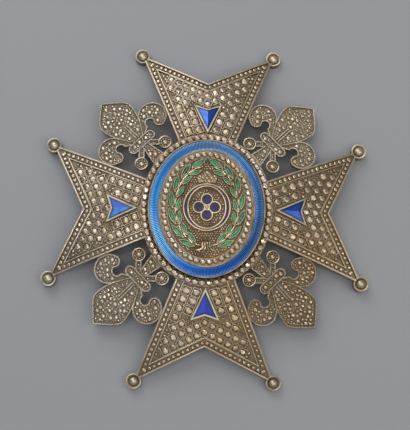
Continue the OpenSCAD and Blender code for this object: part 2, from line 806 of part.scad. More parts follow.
module rosette() {
    color(GOLD) translate([0, ring_up, ground_z + fit]) {
        difference() {
            union() {
                rosette_posts(rosette_r, ring_t);
                cylinder(r = rosette_out, h = ring_t, $fn = 48);
            }
            translate([0, 0, ring_t / 2]) rosette_posts(rosette_r - ring_wire_w, ring_t);
        }
        translate([0, 0, rosette_bead_h / 2]) sphere(d = rosette_bead_h, $fn = 32);
    }
}

module rosette_enamel() {
    color(PURPLE) translate([0, ring_up, ground_z + 2 * fit + ring_t / 2]) difference() {
        rosette_posts(rosette_r - ring_wire_w - fit, ring_t / 2 - fit);
        translate([0, 0, -past]) cylinder(d = rosette_bead_h + 2 * fit, h = ring_t + 2 * past, $fn = 48);
    }
}

module brooch_pin() {
    pin_z = pin_clear + pin_d / 2;
    color(SILVER) {
        for (side = [-1, 1]) {
            difference() {
                translate([0, side * pin_span / 2, pin_clear]) {
                    cylinder(d = post_d, h = top_z, $fn = 48);
                }
                translate([0, 0, vault_z]) difference() {
                    translate([0, 0, vault_r]) cube(2 * vault_r, center = true);
                    sphere(r = vault_r - arm_t - fit, $fn = vault_steps);
                }
            }
            vault_layer(-arm_t - fit - pad_t, -arm_t - fit) {
                translate([-pad_w / 2, side * pin_span / 2 - pad_w / 2, 0]) cube([pad_w, pad_w, tall]);
            }
        }
        translate([0, pin_span / 2, pin_z]) rotate([90, 0, 0]) cylinder(d = pin_d, h = pin_span, $fn = 32);
    }
}

cross();
studs(TOP);  // studs_top
studs(RIGHT);  // studs_right
studs(BOTTOM);  // studs_bottom
studs(LEFT);  // studs_left
arrow_bezel(TOP);  // arrow_bezel_top
arrow_bezel(RIGHT);  // arrow_bezel_right
arrow_bezel(BOTTOM);  // arrow_bezel_bottom
arrow_bezel(LEFT);  // arrow_bezel_left
arrow_enamel(TOP);  // arrow_enamel_top
arrow_enamel(RIGHT);  // arrow_enamel_right
arrow_enamel(BOTTOM);  // arrow_enamel_bottom
arrow_enamel(LEFT);  // arrow_enamel_left
lily(1, 1);  // lily_top_right
lily(-1, 1);  // lily_top_left
lily(-1, -1);  // lily_bottom_left
lily(1, -1);  // lily_bottom_right
outer_beads();
medallion_plate();
enamel_band();
inner_beads();
wreath_stems();
wreath_leaves(-1);  // wreath_leaves_left
wreath_leaves(1);  // wreath_leaves_right
crown();
oval_ring();
oval_ring_enamel();
rosette();
rosette_enamel();
brooch_pin();
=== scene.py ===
"""Looks of the breast star: cut studs, bead rows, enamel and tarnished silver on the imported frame.

Lengths are millimetres until make_piece turns them into metres. The star lies face up:
+Z out of its face, +Y to the arm that is worn uppermost.
"""

import math
import random

import bpy
import numpy as np
from mathutils import Matrix, Vector


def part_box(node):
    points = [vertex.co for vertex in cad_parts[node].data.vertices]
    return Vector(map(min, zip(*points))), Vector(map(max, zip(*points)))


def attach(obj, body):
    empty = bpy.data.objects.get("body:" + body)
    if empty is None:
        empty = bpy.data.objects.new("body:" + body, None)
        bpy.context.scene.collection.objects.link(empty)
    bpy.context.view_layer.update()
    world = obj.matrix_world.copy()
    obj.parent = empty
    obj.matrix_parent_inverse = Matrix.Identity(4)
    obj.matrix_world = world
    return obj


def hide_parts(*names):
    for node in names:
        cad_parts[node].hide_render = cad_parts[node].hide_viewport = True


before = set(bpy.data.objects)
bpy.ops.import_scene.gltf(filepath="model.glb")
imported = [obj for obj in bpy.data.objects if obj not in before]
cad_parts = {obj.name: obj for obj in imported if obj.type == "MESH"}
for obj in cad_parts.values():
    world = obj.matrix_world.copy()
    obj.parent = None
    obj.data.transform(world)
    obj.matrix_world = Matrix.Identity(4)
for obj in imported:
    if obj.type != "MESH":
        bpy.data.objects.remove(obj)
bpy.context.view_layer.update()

# Metres in a millimetre
MM = 0.001
# Gap between pieces that rest on each other
FIT = 0.05
# Largest random turn of a piece about its own axis, in radians
SPIN = 6.28
# Smooth pieces stay sharp at edges of more than this many degrees
SHARP_ANGLE = 38

# The vault that the face follows
VAULT_R = 130.0
TOP_Z = 8.34

# Arms, in arm coordinates: X runs outward along the arm
OVAL_W = 26.2
OVAL_H = 31.6
PUSH = (OVAL_H - OVAL_W) / 2
ARM_REACH = 36.2
ARM_SPREAD = 31.8
ARM_NOTCH = 7.7
ARM_WAIST = 13.1
RIM_W = 0.4
WIRE_H = 0.4
INNER_WIRE_IN = 1.85
INNER_WIRE_W = 0.28
BUTTON_D = 3.6
COLLAR_W = 0.4
COLLAR_H = 0.4
DOME_R = 1.22
DOME_SINK = 0.3
ARMS = {"right": 0, "top": 90, "left": 180, "bottom": 270}
# Wires of an arm as place in from its edge and radius, steps along one edge, gap to the bead ring
WIRE_LINES = ((RIM_W / 2, 0.13), (INNER_WIRE_IN, 0.11))
EDGE_STEPS = 48
WIRE_END = 0.1

# Studs of the arms: their random sizes are shares of the full width
STUD_PITCH = 1.95
STUD_W = 1.75
SIDE_STUD_PITCH = 2.15
SIDE_ROW_PITCH = 2.3
SIDE_STUD_W = 1.95
STUD_H = 0.55
STUD_SIZES = (0.93, 1.0)
NOTCH_ROWS = 3
SIDE_ROWS = 2
MAX_STEPS = 20

# Square cells round the studs: share of the pitch, walls, and where the walls are flat on top
CELL_SHARE = 0.99
CELL_WALL = 0.24
CELL_H = 0.38
CELL_FLAT = (0.3, 0.7)

# Fields of grains: closeness of their rows, least gap, and least share of its room that a grain fills
ROW_SHARE = 0.87
GRAIN_GAP = 0.02
GRAIN_FILL = 0.9
# Grains between the studs: pitch, radii, height at no radius and per radius
GRAIN_PITCH = 0.5
GRAIN_SIZES = (0.2, 0.46)
GRAIN_FOOT = 0.12
GRAIN_RISE = 0.9

# Rows of beads between the rim wire and the inner wire, clear of the bead ring
ROW_BEAD_PITCH = 1.16
ROW_BEAD_SIZES = (0.9, 1.02)
ROW_BEAD_H = 0.42
ROW_BEAD_CLEAR = 0.5

# Arrowheads
SIDE_ARROW_GAP = 2.8
UPRIGHT_ARROW_GAP = 2.4
ARROW_L = 7.2
ARROW_W = 6.7
ARROW_NOTCH = 1.1

# Lilies, from the bead ring outward along the line that halves the angle between two arms
LILY_L = 20.2
PETAL_W = 9.2
PETAL_TIP_L = 5.2
PETAL_FOOT_W = 1.4
BAND_OUT = 5.8
BAND_L = 7.5
BAND_W = 2.3
SCROLL_OUT = 9.0
SCROLL_R = 3.4
CURL_R = 1.4
EYE_R = 1.05
BOSS_OUT = 1.9
BOSS_SPAN = 7.6
BOSS_D = 3.1
WEDGE_W = 4.2
LILY_DROP = 0.35
LILY_RIM_W = 0.3
LILY_RIM_H = 0.35
LILY_FIT = 0.12

# Where studs may stand on a lily: slope of the petal's tip, slit beside the petal, mouth of a scroll,
# narrow end of the wedge, strips from band to boss and the shares of their length, vein of the petal
TIP_SLOPE = 0.7
SLIT_W = 0.35
MOUTH_UP = 0.3
MOUTH_EDGE = 0.2
WEDGE_END_W = 1.4
STRIP_HALF = 0.7
STRIP_SHARES = (0.12, 0.65)
VEIN_L = 4.9
VEIN_HALF = 0.5
# Pitch and radii of the lily's studs, then of the grains between them
LILY_SIZES = ((1.0, (0.3, 0.54)), (0.46, (0.13, 0.3)))
LILY_HALF = 11.0
LILY_STUD_RISE = 0.75
# Specks of more than this radius are cut studs, smaller ones are grains
CUT_FROM = 0.4
# In each boss a stud as radius and height, and a ring of grains as scale and place out
BOSS_STUD = (0.62, 0.5)
BOSS_GRAINS = 9
BOSS_GRAIN = (0.25, 0.25, 0.3)
BOSS_GRAIN_OUT = 0.93

# Medallion
BAND_ENAMEL_W = 2.1
EDGE_WIRE_W = 0.3
BEAD_STRIP_W = 1.7
BEAD_STRIP_T = 0.35
STRIP_STEPS = 192
OUTER_BEAD_D = 1.46
OUTER_BEAD_N = 60
INNER_BEAD_D = 1.32
INNER_BEAD_N = 48
RING_BEAD_SIZES = (0.95, 1.0)
# A ring bead is this much longer than its share of the ring
RING_BEAD_ALONG = 1.04
BAND_RIBS = 240
RIB_STEPS = 4
RIB_H = 0.06
# Shares of the enamel band's width: the ribs lie between the second and the last but one
BAND_SHARES = (0, 0.04, 0.2, 0.5, 0.8, 0.96, 1)
BAND_SWELL = 0.1
BAND_SINK = 0.15

# Wreath
WREATH_W = 14.4
WREATH_H = 18.6
WREATH_UP = 0.4
LEAF_PAIRS = 7
LEAF_L = 3.85
LEAF_W = 1.2
INNER_LEAF_L = 2.9
INNER_LEAF_W = 0.95
LEAF_H = 0.4
STEM_W = 0.3
LEAF_FIRST = 19.5
INNER_LAST = 142.5
OUTER_LAST = 153.5
TOP_OFF = 1.9
OUTER_SPLAY = 3
OUTER_OFF = LEAF_W / 2 + FIT
INNER_HIGHER = 1.3
INNER_OFF = 0.37
INNER_TIP_OFF = 0.92
LEAF_STEPS = 10
LEAF_TIP_HALF = 0.015
# Section of a leaf: share of its half width, and height
LEAF_SECTION = ((-1, 0.0), (-1, 0.3), (-0.5, 0.37), (0, 0.33), (0.5, 0.37), (1, 0.3), (1, 0.0))
# Gold lines: a leaf's outline, its vein, its stalk from the stem to the leaf, and the stem
OUTLINE_SHARE = 0.96
OUTLINE_Z = 0.31
LEAF_VEIN_STEPS = 8
LEAF_VEIN_Z = 0.34
STALK_Z = (0.2, 0.26, 0.32)
STALK_IN = 0.3
STEM_FIRST = 4
STEM_SWEEP = 168
STEM_STEPS = 80
STEM_Z = 0.17
TWIST_DEPTH = 0.22
# Bars of the tie: points as share of the place sideways, height on the wreath, height off the ground
TIE_BARS = 4
TIE_PITCH = 0.55
TIE_LINE = ((0.9, 0.95, 0.2), (1, 0.6, 0.42), (1, -0.35, 0.42), (1.7, -0.85, 0.34), (2.6, -1.2, 0.15))
TIE_FLARE = 0.3

# Middle of the medallion
RING_UP = 0.05
RING_BAND_W = 1.2
ROSETTE_R = 1.4
ROSETTE_OUT = 1.8
# Rows of crown beads as count, pitch, height over the foot and radius, then beads of both sides as
# place sideways, height and radius, and the bead under the top
CROWN_ROWS = ((4, 0.8, 0.4, 0.31), (3, 1.0, 1.15, 0.34), (2, 0.8, 1.85, 0.28))
CROWN_SIDES = ((2.0, 1.05, 0.33), (1.65, 1.62, 0.31))
CROWN_TOP_IN = 0.5
CROWN_TOP_R = 0.44
CROWN_BEAD_SINK = 0.05
CROWN_BEAD_RISE = 1.1
# Grains of the ground, and what they keep clear of: leaves, stems and the crown, which widens upward
GROUND_PITCH = 0.6
GROUND_SIZES = (0.16, 0.3)
GROUND_RISES = (0.8, 1.1)
GROUND_SINK = 0.02
GROUND_HALF = (9.0, 11.7)
CLEAR_SHARES = (0.1, 0.5, 0.9)
CLEAR_STEPS = 31
CLEAR_STEP = 5.6
CROWN_HALF = 1.9
CROWN_WIDENS = 0.35
CROWN_CLEAR_TO = 9.0

# Heights of the medallion, from the frame
BAND_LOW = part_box("enamel_band")[0][2] / MM
BAND_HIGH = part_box("enamel_band")[1][2] / MM
PLATE_Z = BAND_LOW - FIT
GROUND_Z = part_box("rosette")[0][2] / MM - FIT


# Small geometry

def oval_point(half, turn, out=0.0):
    """A point of an oval with these half sizes, made larger all round by out."""
    return np.array([(half[0] + out) * math.cos(turn), (half[1] + out) * math.sin(turn)])


def even_turns(half, count, steps=1440):
    """Angles that share an oval line out into even lengths."""
    turns = np.linspace(0, 2 * math.pi, steps + 1)
    points = np.stack([half[0] * np.cos(turns), half[1] * np.sin(turns)], axis=1)
    lengths = np.concatenate([[0], np.cumsum(np.linalg.norm(np.diff(points, axis=0), axis=1))])
    return np.interp((np.arange(count) + 0.5) * lengths[-1] / count, lengths, turns)


def turned(point, degrees):
    c, s = math.cos(math.radians(degrees)), math.sin(math.radians(degrees))
    return np.array([c * point[0] - s * point[1], s * point[0] + c * point[1]])


def heading(start, end):
    return math.atan2(end[1] - start[1], end[0] - start[0])


def direction(start, end):
    return (end - start) / np.linalg.norm(end - start)


def skin_z(x, y, above=0.0):
    """Height of the vault's face, or of a sphere above it, over a point of the plan."""
    return TOP_Z - VAULT_R + math.sqrt((VAULT_R + above) ** 2 - x * x - y * y)


def on_skin(x, y, above=0.0):
    """A point on the vault and the turn that stands a piece upright on it."""
    place = Vector((x, y, skin_z(x, y, above)))
    up = Vector((x, y, place.z - TOP_Z + VAULT_R))
    return place, Vector((0, 0, 1)).rotation_difference(up).to_matrix()


def inset(points, d):
    """A counter-clockwise outline drawn in by d, with mitred corners."""
    points = [np.array(p, float) for p in points]
    result = []
    for before, here, after in zip([points[-1]] + points[:-1], points, points[1:] + points[:1]):
        u1, u2 = direction(before, here), direction(here, after)
        n1, n2 = np.array([-u1[1], u1[0]]), np.array([-u2[1], u2[0]])
        result.append(here + d * (n1 + n2) / (1 + n1 @ n2))
    return result


def depth_in(point, points):
    """How far a point lies inside a convex counter-clockwise outline."""
    depths = []
    for here, after in zip(points, points[1:] + points[:1]):
        u = direction(here, after)
        depths.append(-u[1] * (point[0] - here[0]) + u[0] * (point[1] - here[1]))
    return min(depths)


def in_oval(point, half, out=0.0):
    return (point[0] / (half[0] + out)) ** 2 + (point[1] / (half[1] + out)) ** 2 < 1


def spun(rng):
    """A random turn about the upright axis."""
    return Matrix.Rotation(rng.uniform(0, SPIN), 3, "Z")


def leaning(rng, most):
    """A random lean of up to most degrees."""
    axis = Vector((rng.uniform(-1, 1), rng.uniform(-1, 1), 0))
    return Matrix.Rotation(math.radians(rng.uniform(0, most)), 3, axis)


def fill_spots(allowed, x_range, y_range, pitch, sizes, taken, rng, stray=0.15):
    """Fills the free room between larger pieces with grains of mixed sizes that stray off their rows."""
    spots = []
    rows = int((y_range[1] - y_range[0]) / (pitch * ROW_SHARE))
    columns = int((x_range[1] - x_range[0]) / pitch)
    for row in range(rows):
        for column in range(columns):
            x = x_range[0] + (column + 0.5 * (row % 2) + rng.uniform(-stray, stray)) * pitch
            y = y_range[0] + (row + rng.uniform(-stray, stray)) * pitch * ROW_SHARE
            gaps = [math.hypot(x - p[0], y - p[1]) - r for p, r in taken + spots]
            room = min(gaps, default=sizes[1]) - GRAIN_GAP
            r = min(room, sizes[1]) * rng.uniform(GRAIN_FILL, 1.0)
            if r >= sizes[0] and allowed(np.array([x, y]), r):
                spots.append((np.array([x, y]), r))
    return spots


OVAL = np.array([OVAL_W / 2, OVAL_H / 2])
OUTER_LINE = OVAL + EDGE_WIRE_W + FIT + BEAD_STRIP_W / 2
INNER_LINE = OVAL - BAND_ENAMEL_W - EDGE_WIRE_W - FIT - BEAD_STRIP_W / 2
HUB = OUTER_LINE + BEAD_STRIP_W / 2
GROUND = INNER_LINE - BEAD_STRIP_W / 2 - FIT
ARM_SLOPE = (ARM_SPREAD - ARM_WAIST) / 2 / (ARM_REACH - OVAL_W / 2)
SIDE_COS = math.cos(math.atan(ARM_SLOPE))
NOTCH_TURN = math.atan2(ARM_SPREAD / 2, ARM_NOTCH)
STUD_EDGE = INNER_WIRE_IN + INNER_WIRE_W / 2


# Meshes

class Mesh:
    """Points and faces of one piece, gathered in millimetres."""

    def __init__(self):
        self.points = []
        self.faces = []

    def add(self, points, faces):
        start = len(self.points)
        self.points += [tuple(p) for p in points]
        self.faces += [tuple(start + i for i in face) for face in faces]

    def add_at(self, shape, place, turn=None, scale=(1, 1, 1)):
        points, faces = shape
        matrix = Matrix.Translation(place) @ (turn.to_4x4() if turn else Matrix.Identity(4))
        self.add([matrix @ Vector([p[i] * scale[i] for i in range(3)]) for p in points], faces)


def link_object(name, data):
    linked = bpy.data.objects.new(name, data)
    bpy.context.scene.collection.objects.link(linked)
    return linked


def make_piece(name, mesh, material, smooth=False, replaced=()):
    """Turns gathered points into an object that rides on the star."""
    data = bpy.data.meshes.new(name)
    data.from_pydata([[c * MM for c in p] for p in mesh.points], [], mesh.faces)
    data.validate()
    if smooth:
        data.shade_smooth()
        data.set_sharp_from_angle(angle=math.radians(SHARP_ANGLE))
    data.materials.append(material)
    piece = link_object(name, data)
    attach(piece, "root")
    if replaced:
        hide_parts(*replaced)


def ringed(rings, sides, top=None):
    """A solid of round rings (radius, height, half steps turned), closed below and above."""
    points, faces = [], []
    for radius, height, half in rings:
        for i in range(sides):
            t = 2 * math.pi * (i + half / 2) / sides
            points.append((radius * math.cos(t), radius * math.sin(t), height))
    for k, (low, high) in enumerate(zip(rings, rings[1:])):
        a, b = k * sides, (k + 1) * sides
        for i in range(sides):
            j = (i + 1) % sides
            if low[2] == high[2]:
                faces.append((a + i, a + j, b + j, b + i))
            else:
                faces.append((a + i, a + j, b + i))
                faces.append((a + j, b + j, b + i))
    last = (len(rings) - 1) * sides
    if top is None:
        faces.append(tuple(last + i for i in range(sides)))
    else:
        points.append((0, 0, top))
        faces += [(last + i, last + (i + 1) % sides, len(points) - 1) for i in range(sides)]
    faces.append(tuple(reversed(range(sides))))
    return points, faces


# Shapes one unit wide in radius and one unit high
CUT_STUD = ringed([(1, 0, 0), (0.96, 0.42, 0), (0.74, 0.78, 1), (0.46, 0.96, 0)], 8, top=1.0)
CUT_BEAD = ringed([(0.95, 0, 0), (1, 0.3, 0), (0.8, 0.75, 1), (0.42, 0.97, 0)], 8)
GRAIN = ringed([(1, 0, 0), (0.84, 0.52, 0), (0.4, 0.92, 1)], 7, top=0.95)


def dome(radius, height, sides=32, steps=8):
    """A round dome, closed below."""
    rises = [math.pi / 2 * i / steps for i in range(steps)]
    rings = [(radius * math.cos(rise), height * math.sin(rise), 0) for rise in rises]
    return ringed(rings, sides, top=height)


def circle(centre, turn, radius, steps=40):
    """Points of a circle round a centre, turned from level."""
    turns = [2 * math.pi * i / steps for i in range(steps)]
    return [centre + turn @ Vector((radius * math.cos(t), radius * math.sin(t), 0)) for t in turns]


def square_frame(width, wire, height):
    """A low square wire frame round a stud."""
    half = width / 2
    corners = [(-1, -1), (1, -1), (1, 1), (-1, 1)]
    flat_out, flat_in = (half - wire * share for share in CELL_FLAT)
    points = []
    for reach, z in ((half, 0), (flat_out, height), (flat_in, height), (half - wire, 0)):
        points += [(reach * x, reach * y, z) for x, y in corners]
    faces = []
    for k in range(4):
        a, b = 4 * k, 4 * ((k + 1) % 4)
        faces += [(a + i, a + (i + 1) % 4, b + (i + 1) % 4, b + i) for i in range(4)]
    return points, faces


def loft(points, sides, closed):
    """Faces over rows of so many points, closed to a ring or else capped at both ends."""
    rows = len(points) // sides
    faces = []
    for i in range(rows if closed else rows - 1):
        a, b = sides * i, sides * ((i + 1) % rows)
        faces += [(a + k, b + k, b + (k + 1) % sides, a + (k + 1) % sides) for k in range(sides)]
    if not closed:
        faces += [tuple(range(sides)), tuple(reversed(range(len(points) - sides, len(points))))]
    return faces


def tube(mesh, path, radius, sides=8, twist=0.0, closed=False):
    """A round wire along a path of points, or a twisted one where twist is not 0."""
    path = [Vector(p) for p in path]
    count = len(path)
    points, faces = [], []
    for i, p in enumerate(path):
        before = path[i - 1 if i or closed else 0]
        after = path[(i + 1) % count if i < count - 1 or closed else i]
        ahead = (after - before).normalized()
        side = ahead.cross(Vector((0, 0, 1)))
        side = side.normalized() if side.length > 1e-6 else Vector((1, 0, 0))
        up = side.cross(ahead)
        for k in range(sides):
            a = 2 * math.pi * k / sides
            r = radius * (1 + (TWIST_DEPTH * math.cos(2 * (a - twist * i)) if twist else 0))
            points.append(p + side * r * math.cos(a) + up * r * math.sin(a))
    for i in range(count if closed else count - 1):
        a, b = sides * i, sides * ((i + 1) % count)
        for k in range(sides):
            n = (k + 1) % sides
            faces.append((a + k, a + n, b + n, b + k))
    if not closed:
        faces.append(tuple(range(sides)))
        faces.append(tuple(reversed(range(sides * (count - 1), sides * count))))
    mesh.add(points, [tuple(reversed(f)) for f in faces])


def draw_line(mesh, line, radius):
    """A wire along the points gathered so far, if there are any."""
    if len(line) > 1:
        tube(mesh, line, radius, sides=6)


# Studs and grains of the arms

def arm_half(x):
    return ARM_WAIST / 2 + ARM_SLOPE * (x - OVAL_W / 2)


def arm_push(turn):
    """The top and the bottom arm stand further out than the side arms."""
    return PUSH if turn in (90, 270) else 0.0


def arm_plan(p, turn):
    """A point of an arm in the star's plan, as if on the right arm or on the top arm."""
    return (p[1], p[0] + PUSH) if arm_push(turn) else p


def arrow_tip(turn):
    return OVAL_W / 2 + (UPRIGHT_ARROW_GAP if arm_push(turn) else SIDE_ARROW_GAP)


def from_side(p):
    return (arm_half(p[0]) - abs(p[1])) * SIDE_COS


def from_notch(p):
    return (ARM_REACH - ARM_NOTCH - p[0]) * math.sin(NOTCH_TURN) + abs(p[1]) * math.cos(NOTCH_TURN)


def off_arrow(p, turn, r):
    x = arrow_tip(turn)
    triangle = [np.array(c) for c in ((x, 0), (x + ARROW_L, -ARROW_W / 2), (x + ARROW_L, ARROW_W / 2))]
    outside = depth_in(p, inset(triangle, -r - FIT)) <= 0
    return outside or p[0] > x + ARROW_L - ARROW_NOTCH * (1 - 2 * abs(p[1]) / ARROW_W) + r + FIT


def free_spot(p, turn, r):
    """A stud of radius r at p keeps clear of the wires, the arrowhead and the medallion."""
    off_hub = not in_oval(arm_plan(p, turn), HUB, r + FIT)
    return from_side(p) > STUD_EDGE + r + FIT and off_hub and off_arrow(p, turn, r)


def notch_spots(turn):
    spots = []
    for row in range(NOTCH_ROWS):
        x = ARM_REACH - ARM_NOTCH - (STUD_EDGE + (row + 0.5) * STUD_PITCH) / math.sin(NOTCH_TURN)
        for i in range(MAX_STEPS):
            step = i * STUD_PITCH
            p = np.array([x + step * math.cos(NOTCH_TURN), step * math.sin(NOTCH_TURN)])
            if free_spot(p, turn, STUD_W / 2):
                spots.append(p)
    return spots


def side_spots(turn):
    spots = []
    rows_end = STUD_EDGE + NOTCH_ROWS * STUD_PITCH
    end = (ARM_REACH - ARM_NOTCH) * math.sin(NOTCH_TURN) - rows_end - SIDE_STUD_W / 2 - FIT
    closing = math.sin(NOTCH_TURN) - ARM_SLOPE * math.cos(NOTCH_TURN)
    for row in range(SIDE_ROWS):
        line = arm_half(0) - (STUD_EDGE + (row + 0.5) * SIDE_ROW_PITCH) / SIDE_COS
        first = (end + line * math.cos(NOTCH_TURN)) / closing
        for i in range(MAX_STEPS):
            x = first - i * SIDE_STUD_PITCH * SIDE_COS
            p = np.array([x, line + ARM_SLOPE * x])
            if free_spot(p, turn, SIDE_STUD_W / 2):
                spots.append(p)
    return spots


def both_sides(spots):
    return spots + [np.array([p[0], -p[1]]) for p in spots if p[1] > 0]


def place_on_arm(mesh, shape, p, turn, rng, width, height, lean, spin=None):
    """Stands a shape on an arm, leant over by up to lean degrees, turned by spin or else at random."""
    if spin is None:
        spin = rng.uniform(0, SPIN)
    x, y = turned((p[0] + arm_push(turn), p[1]), turn)
    place, upright = on_skin(x, y, FIT)
    leant = math.radians(rng.uniform(0, lean))
    axis = Vector((math.cos(rng.uniform(0, SPIN)), math.sin(rng.uniform(0, SPIN)), 0))
    stand = upright @ Matrix.Rotation(leant, 3, axis) @ Matrix.Rotation(spin, 3, "Z")
    mesh.add_at(shape, place, stand, (width / 2, width / 2, height))


def arm_studs(turn, fields, rng):
    """The studs and their cells. A field is its spots, stud width, pitch and direction of its rows."""
    studs, cells = Mesh(), Mesh()
    for spots, width, pitch, rows_turn in fields:
        cell = square_frame(pitch * CELL_SHARE, CELL_WALL, CELL_H)
        for p in spots:
            along = rows_turn * (1 if p[1] >= 0 else -1) + math.radians(turn)
            size = width * rng.uniform(*STUD_SIZES)
            place_on_arm(studs, CUT_STUD, p, turn, rng, size, STUD_H, lean=16)
            place_on_arm(cells, cell, p, turn, rng, width=2, height=1, lean=0, spin=along)
    return studs, cells


def arm_grains(turn, fields, rng):
    taken = [(p, width / 2) for spots, width, _, _ in fields for p in spots]
    x_range = (OVAL_W / 2, ARM_REACH)
    y_range = (-ARM_SPREAD / 2, ARM_SPREAD / 2)

    def allowed(q, r):
        return free_spot(q, turn, r) and from_notch(q) > STUD_EDGE + r

    grains = Mesh()
    for p, r in fill_spots(allowed, x_range, y_range, GRAIN_PITCH, GRAIN_SIZES, taken, rng):
        place_on_arm(grains, GRAIN, p, turn, rng, 2 * r, r * GRAIN_RISE + GRAIN_FOOT, lean=18)
    return grains


def arm_outline(inward):
    """The edge of an arm round its tips and its notch, drawn in."""
    corners = ((0, -arm_half(0)), (ARM_REACH, -ARM_SPREAD / 2), (ARM_REACH - ARM_NOTCH, 0),
               (ARM_REACH, ARM_SPREAD / 2), (0, arm_half(0)))
    path = inset(corners, inward)
    return list(zip(path[:4], path[1:]))


def arm_bead_rows(turn, rng):
    """Beads in the lane between the rim wire and the inner wire."""
    beads = Mesh()
    for start, end in arm_outline((RIM_W + INNER_WIRE_IN - INNER_WIRE_W / 2) / 2):
        count = int(np.linalg.norm(end - start) / ROW_BEAD_PITCH)
        for i in range(count):
            p = start + (end - start) * (i + 0.5) / count
            if not in_oval(arm_plan(p, turn), HUB, ROW_BEAD_CLEAR):
                size = rng.uniform(*ROW_BEAD_SIZES)
                place_on_arm(beads, CUT_BEAD, p, turn, rng, size, ROW_BEAD_H, lean=9)
    return beads


def arm_wires(turn):
    """Round wires over the rim and the inner wire, broken at the bead ring and at the tip buttons."""
    wires = Mesh()
    for inward, radius in WIRE_LINES:
        line = []
        for start, end in arm_outline(inward):
            for i in range(EDGE_STEPS):
                p = start + (end - start) * i / EDGE_STEPS
                tip_gap = math.hypot(p[0] - ARM_REACH, abs(p[1]) - ARM_SPREAD / 2)
                if in_oval(arm_plan(p, turn), HUB, WIRE_END) or tip_gap < BUTTON_D / 2:
                    draw_line(wires, line, radius)
                    line = []
                else:
                    x, y = turned((p[0] + arm_push(turn), p[1]), turn)
                    line.append(on_skin(x, y, WIRE_H)[0])
        draw_line(wires, line, radius)
    return wires


def arm_details(name, turn):
    rng = random.Random(name)
    fields = ((both_sides(notch_spots(turn)), STUD_W, STUD_PITCH, NOTCH_TURN),
              (both_sides(side_spots(turn)), SIDE_STUD_W, SIDE_STUD_PITCH, math.atan(ARM_SLOPE)))
    studs, cells = arm_studs(turn, fields, rng)
    grains = arm_grains(turn, fields, rng)
    beads = arm_bead_rows(turn, rng)
    make_piece(f"rim_wires_{name}", arm_wires(turn), SILVER_WIRE, smooth=True)
    make_piece(f"cut_studs_{name}", studs, SILVER_STUD, replaced=[f"studs_{name}"])
    make_piece(f"stud_cells_{name}", cells, SILVER_CELL)
    make_piece(f"grains_{name}", grains, SILVER_CUT)
    make_piece(f"bead_rows_{name}", beads, SILVER_CUT)


def tip_buttons():
    """Bright domes and thin rings over the buttons at the tips of the arms."""
    mesh = Mesh()
    level = Matrix.Identity(3)
    ring_r = (BUTTON_D - COLLAR_W) / 2
    for turn in ARMS.values():
        for side in (-1, 1):
            x, y = turned((ARM_REACH + arm_push(turn), side * ARM_SPREAD / 2), turn)
            face = skin_z(x, y)
            mesh.add_at(dome(DOME_R, DOME_R), Vector((x, y, face - DOME_SINK)))
            ring = circle(Vector((x, y, face + COLLAR_H)), level, ring_r)
            tube(mesh, ring, radius=COLLAR_W * 0.4, closed=True)
    make_piece("tip_domes", mesh, SILVER_DOME, smooth=True)


# Lilies

EDGE_ZERO = arm_half(0)
CORNER_X = (EDGE_ZERO * (1 + ARM_SLOPE) - ARM_SLOPE * PUSH) / (1 - ARM_SLOPE ** 2)
CORNER = np.array([CORNER_X, EDGE_ZERO + ARM_SLOPE * CORNER_X])
LILY_OPEN = math.pi / 4 - math.atan(ARM_SLOPE)
HUB_STEP = 0.01


def hub_distance():
    """Distance along the lily's middle line to the bead ring's edge."""
    reach = 0.0
    while in_oval(CORNER + reach * math.sqrt(0.5), HUB):
        reach += HUB_STEP
    return reach


LILY_START = hub_distance()
PETAL_TIP = LILY_START + LILY_L
PETAL_WIDE = PETAL_TIP - PETAL_TIP_L
BAND_X = LILY_START + BAND_OUT
BAND_END = BAND_X + BAND_W / 2
SCROLL_X = LILY_START + SCROLL_OUT
SCROLL_Y = SCROLL_X * math.tan(LILY_OPEN) - SCROLL_R / math.cos(LILY_OPEN)
EYE = np.array([SCROLL_X - EYE_R, SCROLL_Y - SCROLL_R / 2])
CURL = np.array([SCROLL_X - SCROLL_R + CURL_R, SCROLL_Y + CURL_R / 4])
BOSS_X = LILY_START + BOSS_OUT


def petal_half(x):
    """Half width of the petal, less than 0 past its tip."""
    to_tip = (PETAL_TIP - x) / (PETAL_TIP - PETAL_WIDE)
    if to_tip < 0:
        return -1.0
    if to_tip < 1:
        return PETAL_W / 2 * (5 * to_tip - to_tip ** 5) / 4
    to_foot = (PETAL_WIDE - x) / (PETAL_WIDE - BAND_X)
    thin = PETAL_FOOT_W / 2
    return thin + (PETAL_W / 2 - thin) * math.cos(math.pi / 2 * min(to_foot, 1))


